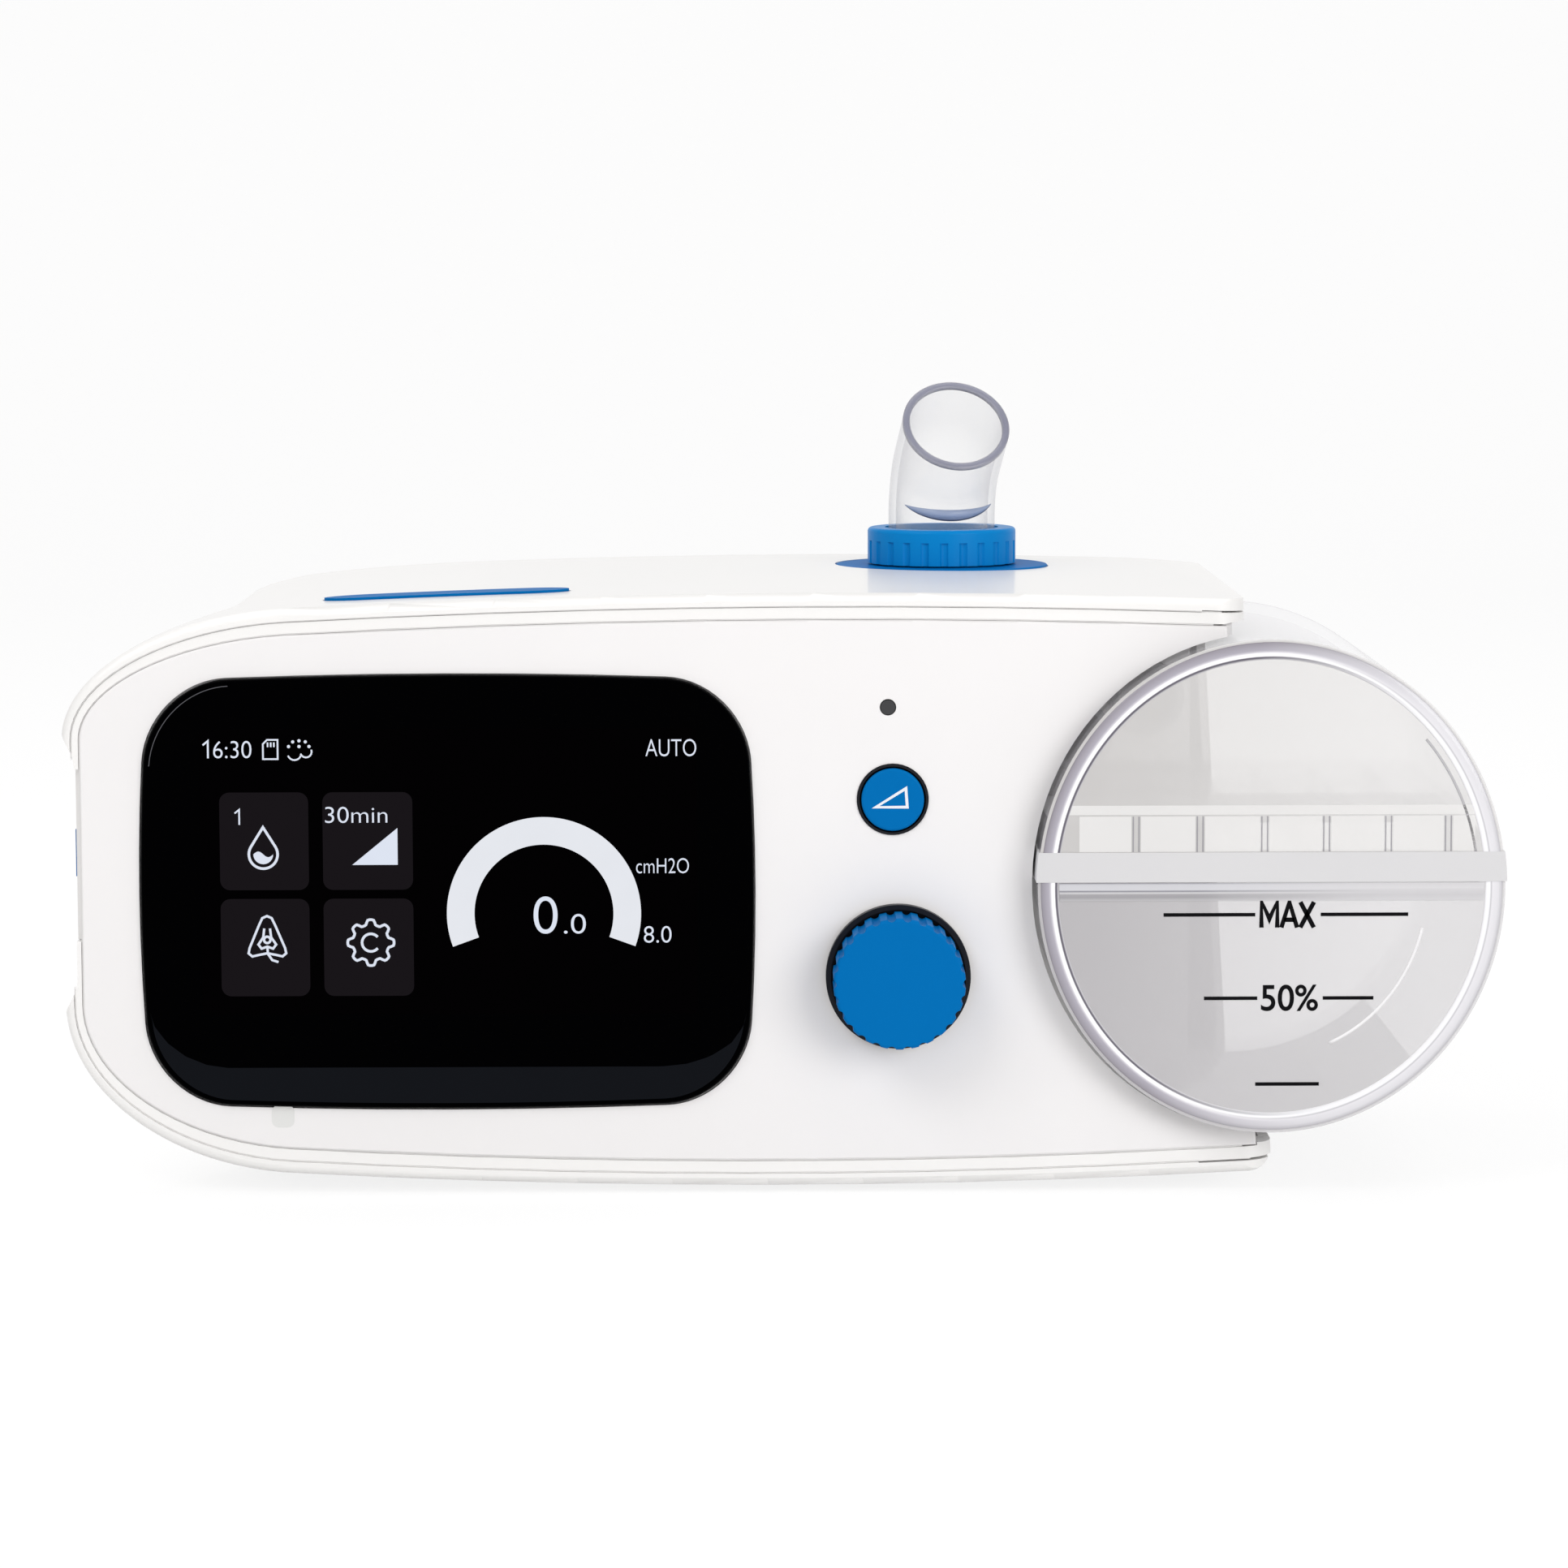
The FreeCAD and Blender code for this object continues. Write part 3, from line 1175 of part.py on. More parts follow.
volute_end = blower_x + volute_radius + volute_wall
volute = rod(volute_radius, Vector(blower_x, blower_y, volute_low), AXIS_Z, volute_height)
volute = volute.fuse(rod(duct_radius, Vector(blower_x, duct_y, air_in_z), AXIS_X, volute_end - blower_x))
scroll = rod(volute_radius - volute_wall, Vector(blower_x, blower_y, volute_low + volute_wall), AXIS_Z,
             volute_height - 2 * volute_wall)
scroll = scroll.fuse(rod(duct_radius - duct_wall, Vector(blower_x, duct_y, air_in_z), AXIS_X, FAR / 10))
volute = volute.cut(scroll)
upper_half = block(-FAR, FAR, -FAR, FAR, air_in_z, FAR)
lower_half = block(-FAR, FAR, -FAR, FAR, -FAR, air_in_z)
hose_bore = inlet_hose_radius - duct_wall
keep("blower_cover", volute.common(upper_half).cut(
    rod(hose_bore, Vector(blower_x, blower_y, air_in_z), AXIS_Z, volute_height)))
motor_top = volute_low
motor_low = motor_top - motor_height
bearing_hub = rod(bearing_radius + bearing_wall, Vector(blower_x, blower_y, volute_low), AXIS_Z,
                  bearing_height)
blower_base = volute.common(lower_half).fuse(bearing_hub)
blower_base = blower_base.cut(rod(bearing_radius, Vector(blower_x, blower_y, volute_low), AXIS_Z,
                                  bearing_height - assembly_gap))
blower_base = blower_base.cut(rod(bearing_radius - bearing_wall / 2, Vector(blower_x, blower_y, motor_low),
                                  AXIS_Z, motor_height + 2 * bearing_height))
keep("blower_base", blower_base)
low_bearing_z = motor_low + motor_shell
race = bearing_radius - pin_fit
bearing_set = [pipe(race, motor_shaft_radius + pin_fit, Vector(blower_x, blower_y, z), AXIS_Z,
                    bearing_height - 2 * assembly_gap)
               for z in (volute_low + assembly_gap / 2, low_bearing_z + assembly_gap / 2)]
keep("motor_bearings", *bearing_set)
can = rod(motor_radius, Vector(blower_x, blower_y, motor_low), AXIS_Z, motor_height)
can = can.cut(rod(motor_radius - motor_shell, Vector(blower_x, blower_y, low_bearing_z), AXIS_Z,
                  motor_height))
can = can.fuse(pipe(bearing_radius + bearing_wall, bearing_radius,
                    Vector(blower_x, blower_y, low_bearing_z), AXIS_Z, bearing_height))
keep("motor_can", can)
stator_low = low_bearing_z + bearing_height + 2 * assembly_gap
stator_height = motor_height - 2 * motor_shell - 2 * bearing_height
stator_radius = motor_radius - motor_shell - assembly_gap / 2
rotor_radius = stator_radius * rotor_share
stator = pipe(stator_radius, rotor_radius + small_gap * 2, Vector(blower_x, blower_y, stator_low), AXIS_Z,
              stator_height)
slot_distance = (stator_radius + rotor_radius) / 2
for number in range(stator_slots):
    angle = math.radians(FULL_TURN * number / stator_slots)
    start = Vector(blower_x + slot_distance * math.cos(angle), blower_y + slot_distance * math.sin(angle),
                   stator_low)
    stator = stator.cut(rod(slot_radius, start, AXIS_Z, stator_height))
keep("motor_stator", stator)
keep("motor_rotor", pipe(rotor_radius, motor_shaft_radius, Vector(blower_x, blower_y, stator_low), AXIS_Z,
                         stator_height))
impeller_low = volute_low + volute_wall + impeller_gap + bearing_wall
shaft_low = low_bearing_z + assembly_gap
keep("motor_shaft", rod(motor_shaft_radius, Vector(blower_x, blower_y, shaft_low), AXIS_Z,
                        impeller_low + impeller_height - shaft_low))
impeller = rod(impeller_radius, Vector(blower_x, blower_y, impeller_low), AXIS_Z, impeller_disc)
impeller = impeller.fuse(rod(impeller_hub, Vector(blower_x, blower_y, impeller_low), AXIS_Z,
                             impeller_height))
for number in range(impeller_blades):
    blade = block(impeller_hub - overhang, blade_reach, -impeller_disc / 2, impeller_disc / 2, 0,
                  impeller_height)
    blade = turned(blade, Vector(impeller_hub, 0, 0), AXIS_Z, blade_lean)
    blade = turned(blade, Vector(0, 0, 0), AXIS_Z, FULL_TURN * number / impeller_blades)
    blade = moved(blade, blower_x, blower_y, impeller_low)
    impeller = impeller.fuse(blade)
impeller = impeller.cut(rod(motor_shaft_radius, Vector(blower_x, blower_y, impeller_low), AXIS_Z,
                            impeller_height))
keep("impeller", impeller.common(rod(impeller_radius, Vector(blower_x, blower_y, impeller_low), AXIS_Z,
                                     impeller_height)))
pedestal_top = motor_low - mount_height
keep("blower_mount", pipe(pedestal_radius + bearing_wall, pedestal_radius / 2,
                          Vector(blower_x, blower_y, pedestal_top), AXIS_Z, mount_height))

# Hoses and the flow sensor between the blower and the tank

sensor_x0 = volute_end + silencer_margin / 2
sensor_x1 = sensor_x0 + sensor_length
sensor_box = block(sensor_x0, sensor_x1, duct_y - sensor_width / 2, duct_y + sensor_width / 2,
                   air_in_z - sensor_width / 2, air_in_z + sensor_width / 2)
sensor_box = sensor_box.cut(rod(duct_radius - duct_wall, Vector(sensor_x0 - overhang, duct_y, air_in_z),
                                AXIS_X, sensor_length + 2 * overhang))
keep("flow_sensor", sensor_box)


def end_bend(radius):
    """Straight run along the back wall and a bend forwards into the tank's port."""
    bend_x = air_in_x - duct_bend
    straight = rod(radius, Vector(sensor_x1, duct_y, air_in_z), AXIS_X, bend_x - sensor_x1)
    mouth = Part.Circle(Vector(bend_x, duct_y, air_in_z), AXIS_X, radius).toShape()
    bend = Part.Face(Part.Wire([mouth])).revolve(Vector(bend_x, plenum_front, air_in_z), AXIS_Z, -90)
    return straight.fuse(bend)


short_hose = pipe(duct_radius, duct_radius - duct_wall, Vector(volute_end, duct_y, air_in_z), AXIS_X,
                  sensor_x0 - volute_end)
keep("blower_hoses", short_hose, end_bend(duct_radius).cut(end_bend(duct_radius - duct_wall)))

# Inlet: filter pad, hinged door, silencer box with foam, and hose to the blower

pad_x0 = housing_left + door_thickness + small_gap
pad_x1 = pad_x0 + filter_thickness
pad_edge = casing_wall + assembly_gap
keep("filter_pad", block(pad_x0, pad_x1, filter_y0 + pad_edge, filter_y1 - pad_edge,
                         filter_low + pad_edge, filter_high - pad_edge))
silencer_x0 = inner_left + door_thickness + silencer_gap
silencer_x1 = silencer_x0 + silencer_depth
hose_z = volute_high + inlet_hose_bend
silencer_y1 = blower_y + silencer_margin
silencer_top = hose_z + inlet_hose_radius
silencer = within_casing(block(silencer_x0, silencer_x1, filter_y0, silencer_y1, filter_low, silencer_top),
                         assembly_gap)
silencer_air = block(silencer_x0 + silencer_wall, silencer_x1 - silencer_wall,
                     filter_y0 + silencer_wall, silencer_y1 - silencer_wall,
                     filter_low + silencer_wall, silencer_top - silencer_wall)
silencer = silencer.cut(within_casing(silencer_air, assembly_gap + silencer_wall))
silencer = silencer.cut(block(silencer_x0 - overhang, silencer_x0 + 2 * silencer_wall,
                              filter_y0 + casing_wall, filter_y1 - casing_wall,
                              filter_low + casing_wall, filter_high - casing_wall))
silencer = silencer.cut(rod(hose_bore, Vector(silencer_x1 - 2 * silencer_wall, blower_y, hose_z), AXIS_X,
                            3 * silencer_wall))
keep("silencer_box", silencer)
keep("silencer_foam", block(pad_x1 + small_gap, silencer_x1 - silencer_wall - silencer_gap,
                            filter_y0 + silencer_wall + silencer_gap,
                            filter_y1 - silencer_wall, filter_low + silencer_wall + silencer_gap,
                            filter_z))


def hose_form(radius):
    """Straight run from the silencer and a bend down into the blower."""
    bend_x = blower_x - inlet_hose_bend
    straight = rod(radius, Vector(silencer_x1, blower_y, hose_z), AXIS_X, bend_x - silencer_x1)
    mouth = Part.Circle(Vector(bend_x, blower_y, hose_z), AXIS_X, radius).toShape()
    bend = Part.Face(Part.Wire([mouth])).revolve(Vector(bend_x, blower_y, volute_high), AXIS_Y, 90)
    return straight.fuse(bend)


keep("inlet_hose", hose_form(inlet_hose_radius).cut(hose_form(hose_bore)))

# Filter door: a slotted plate that hinges down on a pin along its lower edge

door_radius = door_thickness / 2
door_plate = block(housing_left, housing_left + door_thickness, filter_y0, filter_y1,
                   door_hinge.z, filter_high)
filter_door = door_plate.fuse(rod(door_radius, Vector(door_hinge.x, filter_y0, door_hinge.z), AXIS_Y,
                                  filter_width))
door_pin_start = Vector(door_hinge.x, filter_y0 - overhang, door_hinge.z)
filter_door = filter_door.cut(rod(hinge_pin_radius + pin_fit, door_pin_start, AXIS_Y,
                                  filter_width + 2 * overhang))
slot_pitch = (filter_high - door_hinge.z - 2 * slot_margin) / slot_count
for number in range(slot_count):
    low = door_hinge.z + slot_margin + (number + 0.5) * slot_pitch - slot_height / 2
    filter_door = filter_door.cut(block(housing_left - overhang, housing_left + door_thickness + overhang,
                                        filter_y0 + slot_margin, filter_y1 - slot_margin, low,
                                        low + slot_height))
keep("filter_door", filter_door.removeSplitter())
filter_door_pin = rod(hinge_pin_radius, Vector(door_hinge.x, filter_y0 - hinge_reach, door_hinge.z),
                      AXIS_Y, filter_width + 2 * hinge_reach)
keep("hinge_pins", card_door_pin, filter_door_pin)

# Main board with its parts, the power inlet and the screws

board_top = main_board_z + board_thickness
post_places = [(main_board_left + 3 * post_inset, main_board_front + post_inset),
               (main_board_right - post_inset, main_board_front + post_inset),
               (main_board_left + 3 * post_inset, main_board_back - post_inset),
               (main_board_right - post_inset - jack_width, main_board_back - post_inset)]
main_board = block(main_board_left, main_board_right, main_board_front, main_board_back,
                   main_board_z, board_top)
for place in tower_places:
    main_board = main_board.cut(screw_hole(place, tower_radius + small_gap, 0, top_z))
main_board = main_board.cut(rod(pedestal_radius + small_gap, Vector(blower_x, blower_y, 0), AXIS_Z, top_z))
for place in post_places:
    main_board = main_board.cut(screw_hole(place, board_screw_radius + assembly_gap / 2, 0, top_z))
keep("main_board", main_board.common(inside))
components = [block(main_board_left + 2 * chip, main_board_left + 3 * chip, main_board_front + chip,
                    main_board_front + 2 * chip, board_top, board_top + chip_height),
              block(main_board_right - 2 * chip, main_board_right - chip, 0, chip,
                    board_top, board_top + chip_height),
              block(main_board_right - 3 * coil, main_board_right - 2 * coil, -2 * coil, -coil,
                    board_top, board_top + coil / 2)]
for number in range(3):
    components.append(rod(can_radius, Vector(main_board_right - 2 * can_radius,
                                             main_board_front + chip + number * 3 * can_radius, board_top),
                          AXIS_Z, can_height))
keep("board_parts", *components)

jack_back = back_y - casing_wall / 4
jack_centre = Vector(inlet_x, jack_back - jack_length + casing_wall, jack_z)
dc_inlet = block(inlet_x - jack_width / 2, inlet_x + jack_width / 2, jack_back - jack_length, jack_back,
                 board_top, board_top + jack_height)
dc_inlet = dc_inlet.cut(rod(jack_bore, jack_centre, AXIS_Y, jack_length))
dc_inlet = dc_inlet.fuse(rod(jack_pin, Vector(inlet_x, jack_centre.y - casing_wall / 2, jack_z), AXIS_Y,
                             jack_back - jack_centre.y))
keep("dc_inlet", dc_inlet)

screws = []
for place in tower_places:
    head = screw_hole(place, screw_head, head_seat - screw_head_height * 2, head_seat)
    shank = screw_hole(place, screw_radius - pin_fit, head_seat, screw_tops - overhang)
    screws.append(head.fuse(shank))
for place in post_places:
    head = screw_hole(place, board_screw_head, board_top, board_top + screw_head_height)
    shank = screw_hole(place, board_screw_radius - pin_fit, board_top - board_screw_length, board_top)
    screws.append(head.fuse(shank))
keep("screws", *screws)

# Posts inside the casings

casing_fill = front_form(side_wall / 2, casing_wall / 2, front_y, back_y)
for place in post_places:
    post = screw_hole(place, post_radius, belly_z, main_board_z).common(casing_fill)
    post = post.cut(screw_hole(place, board_screw_radius,
                               board_top - board_screw_length - overhang, board_top))
    lower_casing = lower_casing.fuse(post)
pedestal = pipe(pedestal_radius, pedestal_radius - casing_wall, Vector(blower_x, blower_y, belly_z),
                AXIS_Z, pedestal_top - belly_z)
lower_casing = lower_casing.fuse(pedestal.common(casing_fill))
keep("lower_casing", lower_casing.removeSplitter())

boss_y = start_board_width / 2 - boss_inset + boss_radius / 2
for side in (-1, 1):
    boss = rod(boss_radius, Vector(start_centre_x, start_y + side * boss_y, start_board_top), AXIS_Z,
               top_z - start_board_top)
    upper_casing = upper_casing.fuse(boss.common(casing_fill))
keep("upper_casing", upper_casing)

os.makedirs("parts", exist_ok=True)
for name, shape in parts.items():
    shape.exportStep("parts/" + name + ".step")
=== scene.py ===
import json
import math

import bmesh
import bpy
from mathutils import Matrix, Vector

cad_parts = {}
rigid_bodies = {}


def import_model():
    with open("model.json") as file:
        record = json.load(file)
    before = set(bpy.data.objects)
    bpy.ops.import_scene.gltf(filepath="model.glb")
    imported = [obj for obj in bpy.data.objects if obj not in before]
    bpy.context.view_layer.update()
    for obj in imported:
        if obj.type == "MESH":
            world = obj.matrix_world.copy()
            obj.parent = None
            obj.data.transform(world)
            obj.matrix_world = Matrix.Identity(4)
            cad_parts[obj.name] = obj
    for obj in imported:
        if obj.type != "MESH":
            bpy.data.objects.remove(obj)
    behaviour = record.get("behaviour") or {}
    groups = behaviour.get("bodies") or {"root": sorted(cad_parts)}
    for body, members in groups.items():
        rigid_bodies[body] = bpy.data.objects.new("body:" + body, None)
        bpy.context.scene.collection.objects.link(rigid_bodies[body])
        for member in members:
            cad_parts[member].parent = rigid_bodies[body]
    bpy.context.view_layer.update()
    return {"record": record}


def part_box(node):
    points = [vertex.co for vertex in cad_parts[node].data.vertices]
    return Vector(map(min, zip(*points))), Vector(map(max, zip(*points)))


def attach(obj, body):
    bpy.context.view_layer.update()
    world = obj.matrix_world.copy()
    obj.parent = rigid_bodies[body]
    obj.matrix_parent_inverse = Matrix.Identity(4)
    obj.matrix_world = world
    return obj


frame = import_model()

# CPAP machine: finishes, display graphics, level marks, mouldings, studio light and camera.
# Everything lies in the frame of the CAD model. Blender works in metres; the drawings and
# mouldings give their lengths in millimetres.

MM = 0.001
COLLECTION = bpy.context.scene.collection


# Shader nodes

class Sock:
    """A shader socket that takes part in Python expressions."""

    def __init__(self, tree, socket):
        self.tree = tree
        self.socket = socket

    def maths(self, operation, *inputs):
        return add_node(self.tree, "ShaderNodeMath", dict(enumerate(inputs)), operation=operation)

    def power(self, exponent):
        return self.maths("POWER", self, exponent)

    def held(self, low, high):
        """The value, kept between two limits."""
        return self.maths("MINIMUM", self.maths("MAXIMUM", self, low), high)

    def parts(self):
        """The three numbers of a vector."""
        split = add_node(self.tree, "ShaderNodeSeparateXYZ", {0: self}).socket.node
        return [Sock(self.tree, output) for output in split.outputs]

    def __add__(self, other):
        return self.maths("ADD", self, other)

    __radd__ = __add__

    def __mul__(self, other):
        return self.maths("MULTIPLY", self, other)

    __rmul__ = __mul__

    def __sub__(self, other):
        return self.maths("SUBTRACT", self, other)

    def __rsub__(self, other):
        return self.maths("SUBTRACT", other, self)


def wire(tree, value, target):
    """Link a socket or set a plain value."""
    if isinstance(value, Sock):
        tree.links.new(value.socket, target)
    else:
        target.default_value = value


def add_node(tree, kind, sockets, out=0, stops=(), **settings):
    """Add a node: its settings and a ramp's stops first, then the values or links of its sockets."""
    made = tree.nodes.new(kind)
    for name, value in settings.items():
        setattr(made, name, value)
    if stops:
        elements = made.color_ramp.elements
        while len(elements) < len(stops):
            elements.new(0.5)
        for element, (position, colour) in zip(elements, stops):
            element.position = position
            element.color = (*colour, 1.0)
    for name, value in sockets.items():
        wire(tree, value, made.inputs[name])
    return Sock(tree, made.outputs[out])


# Materials

# Scales are those of the noise; depths are in millimetres
COAT_ROUGHNESS = 0.08
CLOUD_SCALE = 40.0             # slow drift of tone and gloss in moulded plastic
CLOUD_SHADE = 0.97
CLOUD_GLOSS = 0.08
GRAIN_SCALE = 2500.0
GRAIN_DEPTH = 0.02
CLEAR_IOR = 1.45
CLEAR_SCALE = 60.0
CLEAR_GLOSS = 0.03
CLEAR_WAVE_SCALE = 25.0        # faint unevenness of clear walls
CLEAR_WAVE_STRENGTH = 0.03
CLEAR_WAVE_DEPTH = 0.2
METAL_SCALE = 300.0
METAL_STRETCH = 30.0
METAL_GLOSS = 0.2
CELL_SHADE = 0.6
CELL_STRENGTH = 0.6
CELL_DEPTH = 0.3
LIT_SCALE = 200.0
LIT_SHADE = 0.96
CLEAR = (0.92, 0.91, 0.92)
CLEAR_RIM = (0.62, 0.60, 0.65)


class Finish:
    """A node-based material built round one Principled shader."""

    def __init__(self, name, colour, roughness, metallic=0.0, coat=0.0, ior=1.5, alpha=1.0, specular=0.5):
        self.material = bpy.data.materials.new(name)
        self.material.use_nodes = True
        self.tree = self.material.node_tree
        self.shader = self.tree.nodes["Principled BSDF"]
        self.place = self.node("ShaderNodeTexCoord", out="Object")
        self.set("Base Color", (*colour, 1.0))
        self.set("Roughness", roughness)
        self.set("Metallic", metallic)
        self.set("Coat Weight", coat)
        self.set("Coat Roughness", COAT_ROUGHNESS)
        self.set("IOR", ior)
        self.set("Alpha", alpha)
        self.set("Specular IOR Level", specular)

    def node(self, kind, sockets=None, **settings):
        return add_node(self.tree, kind, sockets or {}, **settings)

    def set(self, name, value):
        wire(self.tree, value, self.shader.inputs[name])

    def noise(self, scale, detail=3.0, vector=None):
        sockets = {"Vector": vector or self.place, "Scale": scale, "Detail": detail}
        return self.node("ShaderNodeTexNoise", sockets)

    def facing(self):
        """0 where the surface is seen square on, 1 where it is seen edge on."""
        return self.node("ShaderNodeLayerWeight", out="Facing")

    def mix(self, factor, first, second):
        """Blend two colours by a factor."""
        ends = [end if isinstance(end, Sock) else (*end, 1.0) for end in (first, second)]
        return self.node("ShaderNodeMix", {0: factor, 6: ends[0], 7: ends[1]}, out=2, data_type="RGBA")

    def bump(self, height, strength, distance):
        """Raise the surface; the distance is in millimetres."""
        sockets = {"Strength": strength, "Distance": distance * MM, "Height": height}
        self.set("Normal", self.node("ShaderNodeBump", sockets, out="Normal"))


def dimmed(colour, share):
    return tuple(share * part for part in colour)


def moulded(name, colour, roughness, grain=0.02, coat=0.0, specular=0.5):
    """Moulded plastic: even colour, a fine eroded grain and slight gloss changes."""
    finish = Finish(name, colour, roughness, coat=coat, specular=specular)
    cloud = finish.noise(CLOUD_SCALE)
    finish.set("Base Color", finish.mix(cloud, dimmed(colour, CLOUD_SHADE), colour))
    finish.set("Roughness", roughness + (cloud - 0.5) * CLOUD_GLOSS)
    finish.bump(finish.noise(GRAIN_SCALE, 2.0), grain, GRAIN_DEPTH)
    return finish.material


def clear_plastic(name, colour, rim, thin=0.05, dense=0.42):
    """Clear moulded plastic: see-through square on, denser and darker edge on."""
    smooth = 0.06
    finish = Finish(name, colour, smooth, ior=CLEAR_IOR)
    edge = finish.facing().power(2.0)
    finish.set("Base Color", finish.mix(edge, colour, rim))
    finish.set("Alpha", thin + edge * (dense - thin))
    finish.set("Roughness", smooth + finish.noise(CLEAR_SCALE) * CLEAR_GLOSS)
    finish.bump(finish.noise(CLEAR_WAVE_SCALE, 1.0), CLEAR_WAVE_STRENGTH, CLEAR_WAVE_DEPTH)
    return finish.material


def frosted_tank(front_y, centre_x, seal_z):
    """Clear tank plastic whose front wall is frosted: milky, with painted shade that makes it greyer on the
    left and below the seal.
    """
    wall = 0.5 * MM
    left = centre_x - 34.0 * MM
    spread = 66.0 * MM
    smooth = 0.1
    thin = 0.05
    dense = 0.37
    frost = 0.80
    finish = Finish("tank_plastic", (0.9, 0.9, 0.9), smooth, ior=CLEAR_IOR)
    x, y, z = finish.place.parts()
    edge = finish.facing().power(2.0)
    front = y.maths("LESS_THAN", y, front_y + wall)
    upper = z.maths("GREATER_THAN", z, seal_z)
    along = ((x - left) * (1.0 / spread)).held(0.0, 1.0)
    # painted shade: the milky front is greyer on the left and below the seal, where the tank's inside lies in
    # shade
    low_painted_shade = finish.mix(along, (0.56, 0.545, 0.56), (0.69, 0.68, 0.69))
    high_painted_shade = finish.mix(along, (0.68, 0.665, 0.655), (0.745, 0.735, 0.73))
    milk_and_painted_shade = finish.mix(upper, low_painted_shade, high_painted_shade)
    clear = finish.mix(edge, CLEAR, CLEAR_RIM)
    finish.set("Base Color", finish.mix(front, clear, milk_and_painted_shade))
    finish.set("Alpha", edge.maths("MAXIMUM", thin + edge * dense, front * frost))
    finish.set("Roughness", smooth + finish.noise(CLEAR_SCALE) * CLEAR_GLOSS)
    return finish.material


def glazed(name, colour):
    """Black glass that shines only where it is seen edge on."""
    smooth = 0.06
    haze = 0.04
    shine = 0.8
    finish = Finish(name, colour, smooth, specular=0.0)
    finish.set("Roughness", smooth + finish.noise(30.0) * haze)
    finish.set("Coat Weight", finish.facing().power(3.0) * shine)
    return finish.material


def metal(name, colour, roughness):
    """Drawn or rolled metal with fine lines along X."""
    finish = Finish(name, colour, roughness, metallic=1.0)
    stretch = (1.0, METAL_STRETCH, METAL_STRETCH)
    drawn = finish.node("ShaderNodeMapping", {"Vector": finish.place, "Scale": stretch})
    lines = finish.noise(METAL_SCALE, 2.0, drawn)
    finish.set("Roughness", roughness + (lines - 0.5) * METAL_GLOSS)
    return finish.material


def glowing(name, colour):
    """Lit picture elements of the display, uneven by a hair; the same glow paints a reflection and a
    highlight on the glass.
    """
    finish = Finish(name, (0.0, 0.0, 0.0), 0.4, specular=0.0)
    finish.set("Emission Color", finish.mix(finish.noise(LIT_SCALE), dimmed(colour, LIT_SHADE), colour))
    finish.set("Emission Strength", 1.0)
    return finish.material


def porous(name, colour, scale):
    """Fleece or open-cell foam."""
    finish = Finish(name, colour, 0.95)
    cells = finish.node("ShaderNodeTexVoronoi", {"Vector": finish.place, "Scale": scale})
    finish.set("Base Color", finish.mix(cells, dimmed(colour, CELL_SHADE), colour))
    finish.bump(cells, CELL_STRENGTH, CELL_DEPTH)
    return finish.material


def tinged(name, dark, light, roughness, alpha, scale):
    """See-through plastic whose tone drifts between two colours."""
    finish = Finish(name, light, roughness, alpha=alpha)
    finish.set("Base Color", finish.mix(finish.noise(scale), dark, light))
    return finish.material


CASING = (0.905, 0.895, 0.88)
PANEL = (0.875, 0.86, 0.858)
BLUE = (0.0, 0.15, 0.445)
# painted light: the collar wears a paler copy of the blue plastic
COLLAR_PAINTED_LIGHT_BLUE = (0.0, 0.22, 0.58)
ELBOW_RIM = (0.42, 0.42, 0.48)
finishes = {
    "casing_white": moulded("casing_white", CASING, 0.32, grain=0.004, coat=0.2),
    "panel_white": moulded("panel_white", PANEL, 0.45, grain=0.01, specular=0.35),
    "blue_plastic": moulded("blue_plastic", BLUE, 0.45, specular=0.03),
    "black_plastic": moulded("black_plastic", (0.005, 0.006, 0.010), 0.4, specular=0.2),
    "black_glass": glazed("black_glass", (0.0006, 0.0006, 0.0008)),
    "clear_plastic": clear_plastic("clear_plastic", CLEAR, CLEAR_RIM),
    "seal_white": moulded("seal_white", (0.67, 0.665, 0.675), 0.35),
    "black_rubber": moulded("black_rubber", (0.012, 0.012, 0.012), 0.75, grain=0.2),
    "silicone_grey": moulded("silicone_grey", (0.35, 0.36, 0.38), 0.5),
    "liner_grey": moulded("liner_grey", (0.86, 0.85, 0.85), 0.5),
    "smoked_lens": moulded("smoked_lens", (0.03, 0.03, 0.033), 0.2),
    "circuit_board": moulded("circuit_board", (0.01, 0.09, 0.04), 0.35),
    "steel": metal("steel", (0.56, 0.56, 0.57), 0.3),
    "dark_metal": metal("dark_metal", (0.10, 0.10, 0.11), 0.4),
    "copper": metal("copper", (0.60, 0.26, 0.12), 0.35),
    "aluminium": metal("aluminium", (0.68, 0.69, 0.70), 0.35),
    "fan_white": moulded("fan_white", (0.80, 0.80, 0.80), 0.45),
    "film_amber": moulded("film_amber", (0.50, 0.22, 0.04), 0.3),
    "foam_grey": porous("foam_grey", (0.12, 0.12, 0.13), 900.0),
    "filter_white": porous("filter_white", (0.80, 0.80, 0.78), 1500.0),
}

tank_low, tank_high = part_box("tank_tub")
tank_x = (tank_low.x + tank_high.x) / 2
seal_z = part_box("tank_lid")[0].z
tank_plastic = frosted_tank(tank_low.y, tank_x, seal_z)

# These nodes have a finish of their own in place of their slot's
own_finish = {
    "tank_heat_shell": moulded("satin_steel", (0.78, 0.77, 0.78), 0.45),
    "collar": moulded("collar_blue_painted_light", COLLAR_PAINTED_LIGHT_BLUE, 0.35, specular=0.08),
    "elbow": clear_plastic("elbow_plastic", CLEAR, ELBOW_RIM, 0.06, 0.55),
    "tank_tub": tank_plastic,
    "tank_lid": tank_plastic,
}
for entry in frame["record"]["subparts"]:
    material = own_finish.get(entry["node"], finishes[entry["material_slot"]])
    for slot in bpy.data.objects[entry["node"]].material_slots:
        slot.material = material


# Camera, light and floor

